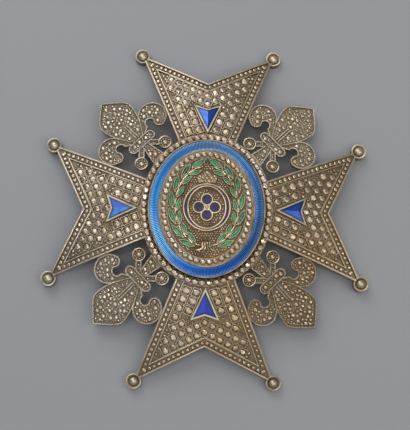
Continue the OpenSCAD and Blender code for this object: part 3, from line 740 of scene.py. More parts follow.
def lily_depth(p):
    """How far a point lies inside the nearest part of a lily, about."""
    x, y = p[0], abs(p[1])
    depths = []
    if x > BAND_END:
        depths.append(min(petal_half(x) - y, (PETAL_TIP - x - y) * TIP_SLOPE, x - BAND_END))
    band_y = (BAND_L - BAND_W) / 2
    depths.append(BAND_W / 2 - math.hypot(x - BAND_X, max(y - band_y, 0)))
    run = np.array([BAND_X - BOSS_X, BOSS_SPAN / 2])
    share = ((BAND_X - x) * run[0] + y * run[1]) / (run @ run)
    if STRIP_SHARES[0] < share < STRIP_SHARES[1]:
        depths.append(STRIP_HALF - math.hypot(BAND_X - x - share * run[0], y - share * run[1]))
    in_disc = SCROLL_R - math.hypot(x - SCROLL_X, y - SCROLL_Y)
    off_eye = math.hypot(x - EYE[0], y - EYE[1]) - EYE_R
    scroll = min(in_disc, off_eye)
    if x < EYE[0] and y < CURL[1]:
        scroll = -1
    if x < SCROLL_X and y < CURL[1] + MOUTH_UP and x > EYE[0]:
        scroll = min(scroll, x - EYE[0] - MOUTH_EDGE)
    if y > petal_half(x) + SLIT_W:
        depths.append(scroll)
    depths.append(CURL_R - math.hypot(x - CURL[0], y - CURL[1]))
    if LILY_START < x < BAND_X - BAND_W / 2:
        share = (x - LILY_START) / BAND_OUT
        depths.append((WEDGE_W * (1 - share) + WEDGE_END_W * share) / 2 - y)
    return max(depths)


def lily_clear(p, r):
    """True where a stud of radius r stands clear of the arms' edges and the bead ring."""
    q = CORNER + turned(p, 45)
    right = (arm_half(q[0]) - q[1]) * SIDE_COS
    top = (arm_half(q[1] - PUSH) - q[0]) * SIDE_COS
    return max(right, top) < -r - LILY_FIT - LILY_RIM_W and not in_oval(q, HUB, r + LILY_FIT + LILY_RIM_W)


def lily_spot(q, r):
    """True where a stud of radius r stands on a lily and off the petal's vein."""
    if BAND_END < q[0] < BAND_END + VEIN_L and abs(q[1]) < VEIN_HALF + r:
        return False
    return lily_depth(q) > r + LILY_RIM_W + GRAIN_GAP and lily_clear(q, r)


def on_lily(p, x_side, y_side):
    """The place on the face of one of the four lilies, and the turn that stands a piece upright there."""
    q = CORNER + turned(p, 45)
    return on_skin(q[0] * x_side, q[1] * y_side, -LILY_DROP)


def lily_studs(rng, sides):
    studs = Mesh()
    done = [(np.array([BOSS_X, side * BOSS_SPAN / 2]), BOSS_D / 2) for side in (-1, 1)]
    x_range = (LILY_START, PETAL_TIP)
    y_range = (-LILY_HALF, LILY_HALF)
    for pitch, sizes in LILY_SIZES:
        found = fill_spots(lily_spot, x_range, y_range, pitch, sizes, done, rng, stray=0.3)
        done += found
        for q, r in found:
            place, upright = on_lily(q, *sides)
            stand = upright @ leaning(rng, most=22) @ spun(rng)
            shape = CUT_STUD if r > CUT_FROM else GRAIN
            studs.add_at(shape, place, stand, (r, r, LILY_STUD_RISE * r))
    return studs


def lily_bosses(sides):
    """In the sunk middle of each boss a stud and a ring of grains, and a wire round its edge."""
    bosses = Mesh()
    ring_r = BOSS_D / 2 - LILY_RIM_W / 2
    for side in (-1, 1):
        place, upright = on_lily((BOSS_X, side * BOSS_SPAN / 2), *sides)
        bosses.add_at(dome(*BOSS_STUD), place, upright)
        for turn in range(0, 360, 360 // BOSS_GRAINS):
            around = upright @ Vector((*turned((BOSS_GRAIN_OUT, 0), turn), 0))
            bosses.add_at(GRAIN, place + around, upright, BOSS_GRAIN)
        ring = circle(place + upright @ Vector((0, 0, LILY_RIM_H)), upright, ring_r)
        tube(bosses, ring, radius=0.16, closed=True)
    return bosses


def lily_details(name, *sides):
    studs = lily_studs(random.Random(name), sides)
    make_piece(f"lily_studs_{name}", studs, SILVER_CUT)
    make_piece(f"lily_bosses_{name}", lily_bosses(sides), SILVER_BOSS, smooth=True)


# Bead rings and the enamel band

def bead_strip(line, low_of, high):
    """The flat strip of metal under a bead ring."""
    strip = Mesh()
    half = BEAD_STRIP_W / 2
    points = []
    for i in range(STRIP_STEPS):
        outer, inner = (oval_point(line, 2 * math.pi * i / STRIP_STEPS, out) for out in (half, -half))
        points += [(*outer, low_of(*outer)), (*outer, high), (*inner, high), (*inner, low_of(*inner))]
    strip.add(points, loft(points, 4, closed=True))
    return strip


def bead_ring(name, node, line, bead_d, count, low_of, high, squash):
    """A strip on an oval line with cut beads, in place of the frame's strip and half beads."""
    rng = random.Random(name)
    mesh = Mesh()
    pitch = 2 * math.pi * math.sqrt((line[0] ** 2 + line[1] ** 2) / 2) / count
    for t in even_turns(line, count):
        x, y = oval_point(line, t)
        radial = math.atan2(y / line[1] ** 2, x / line[0] ** 2)
        stand = Matrix.Rotation(radial, 3, "Z") @ leaning(rng, most=12)
        size = rng.uniform(*RING_BEAD_SIZES)
        scale = (bead_d / 2 * size * squash, pitch / 2 * size * RING_BEAD_ALONG, bead_d / 2)
        mesh.add_at(CUT_BEAD, Vector((x, y, high)), stand, scale)
    strip = bead_strip(line, low_of, high)
    make_piece(f"{name}_strip", strip, SILVER_STRIP, replaced=[node])
    make_piece(name, mesh, SILVER_BEAD)


def ribbed_band():
    """The enamel band: low radial ribs under a slightly domed gloss."""
    mesh = Mesh()
    steps = BAND_RIBS * RIB_STEPS
    width = BAND_ENAMEL_W - 2 * FIT
    points = []
    for k in range(steps):
        t = 2 * math.pi * k / steps
        rib = RIB_H * math.cos(2 * math.pi * k / RIB_STEPS)
        outer, inner = oval_point(OVAL, t, -FIT), oval_point(OVAL, t, -FIT - width)
        points.append((*outer, BAND_LOW))
        for share in BAND_SHARES:
            p = outer + (inner - outer) * share
            swell = BAND_SWELL * (1 - (2 * share - 1) ** 2)
            ribbed = BAND_SHARES[1] < share < BAND_SHARES[-2]
            points.append((*p, BAND_HIGH - BAND_SINK + swell + (rib if ribbed else 0)))
        points.append((*inner, BAND_LOW))
    mesh.add(points, loft(points, len(BAND_SHARES) + 2, closed=True))
    make_piece("ribbed_enamel_band", mesh, ENAMEL_BLUE, smooth=True,
               replaced=["enamel_band"])


# Wreath, crown and ground

def stem_point(side, t, out=0.0):
    """A point of one side's half oval, from the foot upward, moved out from it."""
    across, up = (WREATH_W / 2 + out) * math.sin(t), (WREATH_H / 2 + out) * math.cos(t)
    return np.array([side * across, WREATH_UP - up])


def leaf_spots(side):
    """Stem point, foot, direction, length and width of each leaf of one side."""
    for i in range(LEAF_PAIRS):
        share = i / (LEAF_PAIRS - 1)
        t = math.radians(LEAF_FIRST + (OUTER_LAST - LEAF_FIRST) * share)
        stem, foot = stem_point(side, t), stem_point(side, t, OUTER_OFF)
        turn = heading(stem, stem_point(side, t + math.radians(1))) - side * math.radians(OUTER_SPLAY)
        if i == LEAF_PAIRS - 1:
            turn = heading(foot, (0, WREATH_UP + WREATH_H / 2 + TOP_OFF))
        yield stem, foot, turn, LEAF_L, LEAF_W
        start = math.radians(LEAF_FIRST + (INNER_LAST - LEAF_FIRST) * share + INNER_HIGHER)
        span = INNER_LEAF_L / math.hypot(WREATH_W / 2 * math.cos(start), WREATH_H / 2 * math.sin(start))
        foot, tip = stem_point(side, start, -INNER_OFF), stem_point(side, start + span, -INNER_TIP_OFF)
        yield stem_point(side, start), foot, heading(foot, tip), INNER_LEAF_L, INNER_LEAF_W


def leaf_halves(length, width):
    """Place along a leaf and its half width there."""
    r = (length ** 2 + width ** 2) / 4 / width
    for i in range(LEAF_STEPS + 1):
        x = length * i / LEAF_STEPS
        yield x, max(math.sqrt(r * r - (x - length / 2) ** 2) - (r - width / 2), LEAF_TIP_HALF)


def leaf_body(mesh, base, u, v, sections, foot_z):
    """A leaf with a furrow along its middle, from its foot along u and to both sides along v."""
    points = []
    for x, half in sections:
        points += [(*(base + u * x + v * half * share), foot_z + z) for share, z in LEAF_SECTION]
    mesh.add(points, [tuple(reversed(f)) for f in loft(points, len(LEAF_SECTION), closed=False)])


def wreath():
    """Enamel leaves with gilt outlines, veins and stalks, twisted stems and their tie."""
    foot_z = GROUND_Z + FIT
    wires = Mesh()
    for side, label in ((-1, "left"), (1, "right")):
        leaves = Mesh()
        for stem, base, turn, length, width in leaf_spots(side):
            u = np.array([math.cos(turn), math.sin(turn)])
            v = np.array([-u[1], u[0]])
            sections = list(leaf_halves(length, width))
            leaf_body(leaves, base, u, v, sections, foot_z)
            for share in (-OUTLINE_SHARE, OUTLINE_SHARE):
                edge = [(*(base + u * x + v * half * share), foot_z + OUTLINE_Z) for x, half in sections]
                tube(wires, edge, radius=0.06, sides=6)
            vein = [(*(base + u * x), foot_z + LEAF_VEIN_Z) for x, _ in sections[:LEAF_VEIN_STEPS]]
            tube(wires, vein, radius=0.035, sides=6)
            stalk = [(*p, foot_z + z) for p, z in zip((stem, base, base + u * STALK_IN), STALK_Z)]
            tube(wires, stalk, radius=0.07, sides=6)
        make_piece(f"enamel_leaves_{label}", leaves, ENAMEL_GREEN, smooth=True,
                   replaced=[f"wreath_leaves_{label}"])
    for side in (-1, 1):
        turns = [math.radians(STEM_FIRST + STEM_SWEEP * i / STEM_STEPS) for i in range(STEM_STEPS + 1)]
        tube(wires, [(*stem_point(side, t), foot_z + STEM_Z) for t in turns], radius=0.17, twist=0.5)
    wreath_foot = WREATH_UP - WREATH_H / 2
    for i in range(TIE_BARS):
        x = (i - (TIE_BARS - 1) / 2) * TIE_PITCH
        bar = [[share * x, wreath_foot + up, foot_z + z] for share, up, z in TIE_LINE]
        bar[-1][1] += TIE_FLARE * abs(x)
        tube(wires, bar, radius=0.21)
    make_piece("wreath_wires", wires, GOLD_BRIGHT, smooth=True, replaced=["wreath_stems"])


def crown_beads():
    """Rows of small beads over the plain crown of the frame."""
    rng = random.Random("crown")
    low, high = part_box("crown")
    foot_y = low[1] / MM
    tall = (high[1] - low[1]) / MM
    top = GROUND_Z + FIT + LEAF_H
    mesh = Mesh()
    spots = [((i - (count - 1) / 2) * pitch, up, r) for count, pitch, up, r in CROWN_ROWS
             for i in range(count)]
    spots.append((0, tall - CROWN_TOP_IN, CROWN_TOP_R))
    spots += [(side * out, up, r) for side in (-1, 1) for out, up, r in CROWN_SIDES]
    for x, up, r in spots:
        place = Vector((x, foot_y + up, top - CROWN_BEAD_SINK))
        mesh.add_at(CUT_BEAD, place, spun(rng), (r, r, r * CROWN_BEAD_RISE))
    make_piece("crown_beads", mesh, ROSE_GOLD)


def ground_grains():
    """Granulated gold ground between the pieces of the medallion."""
    rng = random.Random("ground")
    low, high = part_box("oval_ring")
    ring = np.array([high[0] - low[0], high[1] - low[1]]) / MM / 2
    crown_foot, crown_top = (corner[1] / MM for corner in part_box("crown"))
    taken = []
    for side in (-1, 1):
        for _, base, turn, length, width in leaf_spots(side):
            along = np.array([math.cos(turn), math.sin(turn)])
            taken += [(base + along * length * share, width / 2) for share in CLEAR_SHARES]
        turns = [math.radians(STEM_FIRST + CLEAR_STEP * i) for i in range(CLEAR_STEPS)]
        taken += [(stem_point(side, t), STEM_W / 2) for t in turns]
    for i in range(4):
        quarter = np.array([math.cos(i * math.pi / 2), math.sin(i * math.pi / 2)])
        taken.append((np.array([0, RING_UP]) + ROSETTE_OUT * quarter, ROSETTE_R))

    def allowed(q, r):
        centred = (q[0], q[1] - RING_UP)
        reach = CROWN_HALF + CROWN_WIDENS * max(q[1] - crown_foot, 0) + r
        in_crown = crown_foot - r < q[1] < min(crown_top + r, CROWN_CLEAR_TO) and abs(q[0]) < reach
        on_ring = in_oval(centred, ring, r) and not in_oval(centred, ring, -RING_BAND_W - r)
        return in_oval(q, GROUND, -r) and not on_ring and not in_crown

    mesh = Mesh()
    x_range, y_range = ((-half, half) for half in GROUND_HALF)
    for q, r in fill_spots(allowed, x_range, y_range, GROUND_PITCH, GROUND_SIZES, taken, rng):
        place = Vector((*q, GROUND_Z - GROUND_SINK))
        mesh.add_at(GRAIN, place, spun(rng), (r, r, r * rng.uniform(*GROUND_RISES)))
    make_piece("ground_grains", mesh, GOLD_GRAIN)


# Materials

class Shader:
    """A node tree with one Principled shader, built from short calls."""

    def __init__(self, name):
        self.material = bpy.data.materials.new(name)
        self.material.use_nodes = True
        self.nodes = self.material.node_tree.nodes
        self.links = self.material.node_tree.links
        self.principled = self.nodes["Principled BSDF"]
        self.place = self.add("TexCoord", "Object")

    def set(self, **values):
        self.fill(self.principled, values)

    def fill(self, node, values):
        for name, value in values.items():
            self.feed(node.inputs[name.replace("_", " ")], value)

    def feed(self, socket, value):
        if isinstance(value, bpy.types.NodeSocket):
            self.links.new(value, socket)
        elif isinstance(value, (tuple, list)) and len(value) == 3 and len(socket.default_value) == 4:
            socket.default_value = (*value, 1.0)
        else:
            socket.default_value = value

    def add(self, kind, output, **values):
        """A new node with its inputs filled in; gives back one of its outputs."""
        node = self.nodes.new(f"ShaderNode{kind}")
        self.fill(node, values)
        return node.outputs[output]

    def noise(self, size_mm, detail=3.0, distortion=0.0):
        return self.add("TexNoise", "Fac", Vector=self.place, Scale=1 / (size_mm * MM), Detail=detail,
                        Roughness=0.55, Distortion=distortion)

    def spread(self, value, low, high, to_low=0.0, to_high=1.0):
        return self.add("MapRange", "Result", Value=value, From_Min=low, From_Max=high,
                        To_Min=to_low, To_Max=to_high)

    def spread_mm(self, value, low, high, to_low=0.0, to_high=1.0):
        """Spread between two lengths in millimetres."""
        return self.spread(value, low * MM, high * MM, to_low, to_high)

    def math(self, operation, a, b=0.0):
        node = self.nodes.new("ShaderNodeMath")
        node.operation = operation
        self.feed(node.inputs[0], a)
        self.feed(node.inputs[1], b)
        return node.outputs[0]

    def plus(self, a, b):
        return self.math("ADD", a, b)

    def minus(self, a, b):
        return self.math("SUBTRACT", a, b)

    def times(self, a, b):
        return self.math("MULTIPLY", a, b)

    def mix(self, share, a, b):
        node = self.nodes.new("ShaderNodeMix")
        node.data_type = "RGBA"
        self.feed(node.inputs["Factor"], share)
        self.feed(node.inputs[6], a)
        self.feed(node.inputs[7], b)
        return node.outputs[2]

    def axes(self):
        node = self.nodes.new("ShaderNodeSeparateXYZ")
        self.links.new(self.place, node.inputs[0])
        return node.outputs

    def over_vault(self):
        """Height over the sphere that the face follows, in metres."""
        x, y, z = self.axes()
        up = self.minus(z, (TOP_Z - VAULT_R) * MM)
        flat = self.plus(self.times(x, x), self.times(y, y))
        reach = self.math("SQRT", self.plus(flat, self.times(up, up)))
        return self.minus(reach, VAULT_R * MM)

    def from_middle(self):
        """Distance from the middle of the star in the plan, in metres."""
        x, y, _ = self.axes()
        return self.math("SQRT", self.plus(self.times(x, x), self.times(y, y)))

    def hollows(self, distance_mm):
        """1 on open faces, less in crevices."""
        output = self.add("AmbientOcclusion", "AO", Distance=distance_mm * MM)
        output.node.samples = 8
        return output

    def bump(self, height, strength, distance_mm):
        normal = self.add("Bump", "Normal", Strength=strength, Distance=distance_mm * MM, Height=height)
        self.set(Normal=normal)


# Colours of the patina that lies in patches on the silver; the yellow brown to the lower right is partly
# painted shade
ROSY = (0.92, 0.74, 0.70)
BROWN = (0.52, 0.36, 0.20)
YELLOW_BROWN = (0.51, 0.365, 0.185)
OLIVE = (0.33, 0.33, 0.20)
STRAW = (0.86, 0.69, 0.43)


def silver(name, bright, mid, dark, rough, crevice_mm=0.9, floor_mm=None, rugged_mm=0.0):
    """Tarnished silver, with patches of other colours over the whole star. It is dark in crevices,
    partly patina and partly painted shade, and brighter on open faces, partly wear and partly
    painted highlight.

    It turns brown round the medallion and to the lower right, olive at the far ends and straw
    to the upper right; the brown to the lower right is partly patina and partly painted shade,
    darker where the light falls off. With floor_mm, faces between those two heights over the vault
    turn from dark to their full colour, partly patina and partly painted shade between the raised
    pieces. With rugged_mm, the whole face is broken up into lumps of about that size."""
    shader = Shader(name)
    patches = shader.noise(9.0, detail=4.0, distortion=0.6)
    mottle = shader.noise(0.9, detail=4.0)
    fine = shader.noise(0.12, detail=2.0)
    open_face = shader.hollows(crevice_mm)
    far = shader.from_middle()
    x, y, _ = shader.axes()
    # Brighter on open faces in mottled patches: partly wear, partly painted highlight
    wear_and_highlight = shader.times(shader.spread(open_face, 0.45, 0.95), shader.spread(mottle, 0.36, 0.62))
    colour = shader.mix(wear_and_highlight, mid, bright)
    rosy = shader.spread(shader.noise(1.6, detail=1.0), 0.55, 0.68, 0.0, 0.35)
    colour = shader.mix(rosy, colour, ROSY)
    # Each patch colour: where it starts and is full in millimetres, how patchy it is, its share
    patch_colours_and_shade = (
        (far, 34, 14, (0.35, 0.62), 0.6, BROWN),
        # Yellow brown to the lower right: partly patina, partly painted shade where the light falls off
        (shader.minus(x, y), 0, 34, (0.3, 0.6, 0.4, 1.0), 0.7, YELLOW_BROWN),
        (far, 28, 43, (0.3, 0.6), 0.4, OLIVE),
        (shader.plus(x, y), 12, 40, (0.3, 0.6, 0.5, 1.0), 0.45, STRAW),
    )
    for reach, start, full, patchy, share, patch_colour in patch_colours_and_shade:
        where = shader.times(shader.spread_mm(reach, start, full), shader.spread(patches, *patchy))
        colour = shader.mix(shader.times(where, share), colour, patch_colour)
    # Dark in crevices: partly patina, partly painted shade
    colour = shader.mix(shader.spread(open_face, 0.6, 0.1), colour, dark)
    # Low faces between raised pieces turn dark: partly patina, partly painted shade
    if floor_mm:
        low = shader.spread_mm(shader.over_vault(), floor_mm[1], floor_mm[0], 0.0, 0.72)
        colour = shader.mix(low, colour, dark)
    dull = shader.plus(mottle, shader.minus(1.0, open_face))
    shader.set(Base_Color=colour, Metallic=0.92, Roughness=shader.spread(dull, 0.3, 1.1, *rough))
    if rugged_mm:
        shader.bump(shader.plus(shader.noise(rugged_mm, detail=2.0, distortion=1.2), fine), 0.8, 0.25)
    else:
        shader.bump(shader.plus(fine, mottle), 0.35, 0.05)
    return shader.material


def gold(name, bright, dark, rough=(0.2, 0.42), crevice_mm=0.6, floor_mm=None):
    """Worn gold: dark in crevices and, with floor_mm, below that height, which is painted shade; brighter
    on open faces in patches, partly wear and partly painted highlight.
    """
    shader = Shader(name)
    mottle = shader.noise(0.7, detail=4.0)
    patches = shader.noise(4.0)
    open_face = shader.hollows(crevice_mm)
    # Bright on open faces in patches, dark in crevices: partly wear, partly painted highlight and painted
    # shade
    wear_and_highlight = shader.times(shader.spread(open_face, 0.35, 0.9), shader.spread(patches, 0.25, 0.55))
    colour = shader.mix(wear_and_highlight, dark, bright)
    # Faces below floor_mm turn dark: painted shade
    if floor_mm:
        low = shader.spread_mm(shader.axes()[2], floor_mm, floor_mm - 0.1, 0.0, 0.75)
        colour = shader.mix(low, colour, dark)
    shader.set(Base_Color=colour, Metallic=1.0, Roughness=shader.spread(mottle, 0.35, 0.7, *rough))
    shader.bump(shader.noise(0.1, detail=2.0), 0.2, 0.03)
    return shader.material


def band_enamel(name):
    """Blue enamel over ribs: azure on the left, deep blue on the right, dark between the ribs. The
    change from left to right is partly the enamel's colour and partly painted light; the dark
    furrows are partly the engraved pattern and partly painted shade.

    It is paler above and to the lower left, which are painted reflections, and purer blue below,
    partly the enamel's colour and partly painted light."""
    shader = Shader(name)
    x, y, _ = shader.axes()
    across = shader.math("DIVIDE", x, OVAL[0])
    along = shader.math("DIVIDE", y, OVAL[1])
    turn = shader.math("ARCTAN2", along, across)
    rib = shader.math("COSINE", shader.times(turn, float(BAND_RIBS)))
    clouds = shader.noise(6.0, detail=2.0)
    # Azure on the left to deep blue on the right: partly the enamel's colour, partly painted light
    side = shader.plus(shader.spread_mm(x, -12, 11), shader.spread(clouds, 0.3, 0.7, -0.2, 0.2))
    # Paler above: a painted reflection
    above = shader.times(shader.spread_mm(y, 6, 14), shader.spread_mm(x, 10, 2))
    above = shader.times(above, shader.spread_mm(x, -7.5, -2.5, 0.4, 1.0))
    # Purer blue below: partly the enamel's colour, partly painted light
    below = shader.spread_mm(y, -8, -14)
    # Paler to the lower left: a painted highlight
    lower_left_highlight = shader.times(shader.spread_mm(shader.plus(x, y), -12.5, -16),
                              shader.spread_mm(y, -12.5, -10))
    ridge = shader.mix(side, (0.09, 0.50, 1.0), (0.07, 0.24, 0.58))
    ridge = shader.mix(above, ridge, (0.27, 0.56, 0.90))
    ridge = shader.mix(below, ridge, (0.05, 0.30, 1.0))
    ridge = shader.mix(lower_left_highlight, ridge, (0.22, 0.66, 1.0))
    furrow = shader.mix(side, (0.003, 0.10, 0.52), (0.003, 0.025, 0.13))
    # Darker in the furrows: partly the engraved pattern, partly painted shade
    colour = shader.mix(shader.spread(rib, -0.5, 0.3), furrow, ridge)
    shader.set(Base_Color=colour, Metallic=0.5, Roughness=0.3, Coat_Weight=0.4, Coat_Roughness=0.1)
    return shader.material


def enamel(name, light, deep, metallic):
    """Translucent enamel over a metal ground: the metal's reflection shows through in colour."""
    shader = Shader(name)
    clouds = shader.noise(1.3, distortion=0.8)
    specks = shader.noise(0.25)
    colour = shader.mix(shader.spread(clouds, 0.32, 0.66), deep, light)
    colour = shader.mix(shader.spread(specks, 0.62, 0.74), colour, tuple(0.6 * c for c in deep))
    shader.set(Base_Color=colour, Metallic=metallic, Roughness=shader.spread(specks, 0.3, 0.7, 0.22, 0.36),
               Coat_Weight=0.6, Coat_Roughness=0.06)
    shader.bump(specks, 0.08, 0.03)
    return shader.material


def arrow_enamel(arm, turn, light, deep):
    """Blue enamel over a ridged ground: a painted highlight on one side of the ridge, and painted shade,
    almost black, along the wire.
    """
    shader = Shader(f"arrow_enamel_{arm}")
    x, y, _ = shader.axes()
    along, across = (y, x) if arm_push(turn) else (x, y)
    from_tip = shader.minus(shader.math("ABSOLUTE", along), (arrow_tip(turn) + arm_push(turn)) * MM)
    off_ridge = shader.math("ABSOLUTE", across)
    from_wire = shader.minus(shader.times(from_tip, ARROW_W / 2 / ARROW_L), off_ridge)
    back = shader.plus(shader.times(off_ridge, 2 * ARROW_NOTCH / ARROW_W), (ARROW_L - ARROW_NOTCH) * MM)
    edge = shader.math("MINIMUM", from_wire, shader.minus(back, from_tip))
    clouds = shader.noise(1.2, detail=2.0, distortion=0.5)
    specks = shader.noise(0.25)
    # Painted highlight on one side of the ridge, in cloudy patches
    lit = shader.times(shader.spread_mm(across, 0.15, -0.15), shader.spread(clouds, 0.35, 0.6, 0.45, 1.0))
    colour = shader.mix(lit, deep, light)
    colour = shader.mix(shader.spread(specks, 0.62, 0.74), colour, deep)
    # Painted shade, almost black, along the wire
    colour = shader.mix(shader.spread_mm(edge, 1.0, 0.5), colour, ARROW_WIRE_SHADE)
    shader.set(Base_Color=colour, Metallic=0.5, Roughness=0.28, Coat_Weight=0.6, Coat_Roughness=0.06)
    return shader.material


# The arms' floor between the studs turns dark: partly patina, partly painted shade
SILVER = silver("tarnished_silver", (0.76, 0.67, 0.54), (0.50, 0.42, 0.32), (0.15, 0.11, 0.07),
                (0.36, 0.56), floor_mm=(0.05, 0.3))
SILVER_WIRE = silver("silver_wire", (0.82, 0.73, 0.59), (0.60, 0.51, 0.39), (0.12, 0.085, 0.05),
                     (0.25, 0.45))
SILVER_STRIP = silver("strip_silver", (0.45, 0.38, 0.29), (0.32, 0.26, 0.19), (0.10, 0.075, 0.045),
                      (0.4, 0.6))
SILVER_CUT = silver("cut_silver", (0.95, 0.86, 0.74), (0.58, 0.49, 0.37), (0.16, 0.12, 0.07),
                    (0.16, 0.36), crevice_mm=0.5)
SILVER_STUD = silver("stud_silver", (0.84, 0.74, 0.61), (0.44, 0.36, 0.26), (0.14, 0.10, 0.06),
                     (0.16, 0.36), crevice_mm=0.5)
SILVER_CELL = silver("cell_silver", (0.92, 0.82, 0.67), (0.70, 0.59, 0.45), (0.20, 0.15, 0.09),
                     (0.25, 0.45), crevice_mm=0.25)
SILVER_BOSS = silver("boss_silver", (0.92, 0.83, 0.68), (0.66, 0.57, 0.44), (0.14, 0.10, 0.06),
                     (0.24, 0.42), crevice_mm=0.5)
SILVER_BEAD = silver("bead_silver", (0.97, 0.90, 0.80), (0.60, 0.50, 0.39), (0.12, 0.08, 0.05),
                     (0.14, 0.34), crevice_mm=0.4)
# The lilies' sunk floors turn dark: partly patina, partly painted shade
SILVER_LILY = silver("lily_silver", (0.97, 0.90, 0.76), (0.74, 0.66, 0.52), (0.22, 0.18, 0.12),
                     (0.24, 0.44), floor_mm=(-0.3, -0.05), rugged_mm=0.5)
SILVER_DOME = silver("dome_silver", (0.95, 0.88, 0.76), (0.78, 0.70, 0.56), (0.2, 0.15, 0.09),
                     (0.34, 0.5), crevice_mm=0.5)
SILVER_GILT = gold("silver_gilt", (0.63, 0.57, 0.42), (0.30, 0.25, 0.15), (0.28, 0.45), 0.4)
GOLD_PALE = gold("pale_gold", (0.93, 0.78, 0.50), (0.50, 0.33, 0.14))
GOLD_BRIGHT = gold("bright_gold", (0.98, 0.84, 0.56), (0.62, 0.42, 0.20), (0.16, 0.34), 0.3)
# The ground turns dark below its grains: painted shade
GOLD_GROUND = gold("medallion_gold", (0.43, 0.335, 0.225), (0.085, 0.058, 0.034), (0.3, 0.5), 0.4,
                   floor_mm=GROUND_Z + 0.12)
GOLD_GRAIN = gold("grain_gold", (0.95, 0.79, 0.56), (0.18, 0.12, 0.06), (0.2, 0.4), 0.25)
# The crown beads turn dark low down, near the ground: painted shade
ROSE_GOLD = gold("rose_gold", (0.98, 0.83, 0.60), (0.34, 0.22, 0.12), (0.14, 0.3), 0.5,
                 floor_mm=GROUND_Z + FIT + LEAF_H + 0.08)
CROWN_GOLD = gold("crown_gold", (0.50, 0.39, 0.24), (0.12, 0.075, 0.04), crevice_mm=0.5)
ENAMEL_BLUE = band_enamel("blue_enamel")
ENAMEL_GREEN = enamel("green_enamel", (0.008, 0.34, 0.13), (0.001, 0.05, 0.02), metallic=0.35)
ENAMEL_PURPLE = enamel("purple_enamel", (0.05, 0.022, 0.15), (0.006, 0.003, 0.028), metallic=0.3)
# Colours of the side with the painted highlight and the darker side of each arrowhead, lighter
# on the top and left ones and darker on the right and bottom ones as painted light, and the painted shade
# along its wire
ARROW_BLUES = {
    "top": ((0.06, 0.22, 0.86), (0.008, 0.08, 0.48)), "right": ((0.03, 0.13, 0.60), (0.012, 0.08, 0.48)),
    "bottom": ((0.01, 0.05, 0.6), (0.006, 0.025, 0.36)), "left": ((0.07, 0.32, 0.8), (0.004, 0.07, 0.46)),
}
ARROW_WIRE_SHADE = (0.004, 0.014, 0.09)

NODE_MATERIALS = {
    "cross": SILVER, "brooch_pin": SILVER, "medallion_plate": GOLD_GROUND, "crown": CROWN_GOLD,
    "oval_ring": GOLD_PALE, "oval_ring_enamel": ENAMEL_PURPLE,
    "rosette": GOLD_PALE, "rosette_enamel": ENAMEL_PURPLE,
}
for arm, arm_turn in ARMS.items():
    NODE_MATERIALS[f"arrow_bezel_{arm}"] = SILVER_GILT
    NODE_MATERIALS[f"arrow_enamel_{arm}"] = arrow_enamel(arm, arm_turn, *ARROW_BLUES[arm])
LILIES = {"top_right": (1, 1), "top_left": (-1, 1), "bottom_left": (-1, -1), "bottom_right": (1, -1)}
for lily in LILIES:
    NODE_MATERIALS[f"lily_{lily}"] = SILVER_LILY
for node_name, node_material in NODE_MATERIALS.items():
    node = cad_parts[node_name]
    for material_slot in node.material_slots:
        material_slot.material = node_material

for arm, arm_turn in ARMS.items():
    arm_details(arm, arm_turn)
tip_buttons()
for lily, lily_sides in LILIES.items():
    lily_details(lily, *lily_sides)
bead_ring("cut_outer_beads", "outer_beads", OUTER_LINE, OUTER_BEAD_D, OUTER_BEAD_N,
          lambda x, y: skin_z(x, y, FIT), skin_z(HUB[0], 0, FIT) + BEAD_STRIP_T, squash=1.15)
bead_ring("cut_inner_beads", "inner_beads", INNER_LINE, INNER_BEAD_D, INNER_BEAD_N,
          lambda x, y: PLATE_Z + FIT, PLATE_Z + FIT + BEAD_STRIP_T, squash=1.05)
ribbed_band()
wreath()
crown_beads()
ground_grains()


# Camera at the photograph's angle, lights and floor

VIEW_TILT = 0.201
VIEW_SIDE = -0.021
VIEW_ROLL = 0.015
VIEW_DISTANCE = 220.0
PIXELS_PER_MM = 4.375
IMAGE_W, IMAGE_H = 410, 430
TARGET = Vector((0, 0, TOP_Z))
TARGET_PIXEL = (206.64, 208.78)
SENSOR = 36.0
CLIP_START = 0.01
FLOOR_HALF = 900
FLOOR_COLOUR = (0.42, 0.43, 0.46)
AIR_COLOUR = (0.80, 0.84, 0.90, 1)
AIR_STRENGTH = 0.26


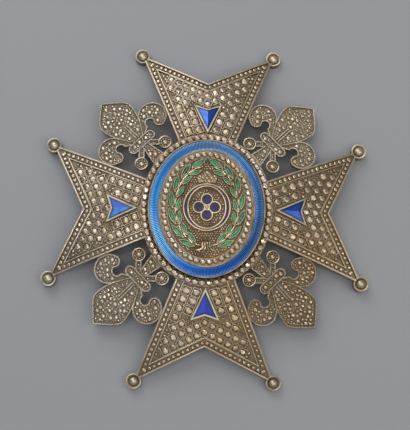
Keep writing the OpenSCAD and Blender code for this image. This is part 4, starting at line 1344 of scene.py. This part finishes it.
def add_camera():
    back = Vector((math.sin(VIEW_SIDE), -math.sin(VIEW_TILT) * math.cos(VIEW_SIDE),
                   math.cos(VIEW_TILT) * math.cos(VIEW_SIDE)))
    level = Vector((0, 1, 0)).cross(back).normalized()
    upright = back.cross(level)
    right = math.cos(VIEW_ROLL) * level + math.sin(VIEW_ROLL) * upright
    up = math.cos(VIEW_ROLL) * upright - math.sin(VIEW_ROLL) * level
    aim = TARGET - right * (TARGET_PIXEL[0] - IMAGE_W / 2) / PIXELS_PER_MM
    aim = aim + up * (TARGET_PIXEL[1] - IMAGE_H / 2) / PIXELS_PER_MM
    data = bpy.data.cameras.new("camera")
    data.sensor_width = SENSOR
    data.lens = SENSOR * PIXELS_PER_MM * VIEW_DISTANCE / IMAGE_H
    data.clip_start = CLIP_START
    camera = link_object("camera", data)
    turn = Matrix((right, up, back)).transposed()
    camera.matrix_world = Matrix.Translation((aim + back * VIEW_DISTANCE) * MM) @ turn.to_4x4()
    bpy.context.scene.camera = camera


def add_light(name, place_mm, size_mm, watts, colour=(1, 1, 1)):
    """A square soft light aimed at the middle of the star."""
    data = bpy.data.lights.new(name, "AREA")
    data.shape = "RECTANGLE"
    data.size = data.size_y = size_mm * MM
    data.energy = watts
    data.color = colour
    light = link_object(name, data)
    light.location = Vector(place_mm) * MM
    light.rotation_euler = (-light.location).to_track_quat("-Z", "Y").to_euler()


def add_floor():
    half = FLOOR_HALF * MM
    data = bpy.data.meshes.new("floor")
    corners = [(-half, -half, 0), (half, -half, 0), (half, half, 0), (-half, half, 0)]
    data.from_pydata(corners, [], [(0, 1, 2, 3)])
    shader = Shader("floor_pale")
    shader.set(Base_Color=FLOOR_COLOUR, Roughness=0.8)
    data.materials.append(shader.material)
    floor = link_object("floor", data)


add_camera()
add_floor()
add_light("key", (-140, 262, 290), 300, 0.52, (1.0, 0.97, 0.93))
add_light("side", (230, -60, 250), 150, 0.11, (1.0, 0.92, 0.84))
add_light("overhead", (60, -110, 560), 600, 0.85, (1.0, 0.97, 0.93))
add_light("glint", (-112, -12, 500), 60, 0.12)
world = bpy.data.worlds.new("studio")
world.use_nodes = True
world.node_tree.nodes["Background"].inputs["Color"].default_value = AIR_COLOUR
world.node_tree.nodes["Background"].inputs["Strength"].default_value = AIR_STRENGTH
bpy.context.scene.world = world
bpy.context.scene.view_settings.view_transform = "Standard"
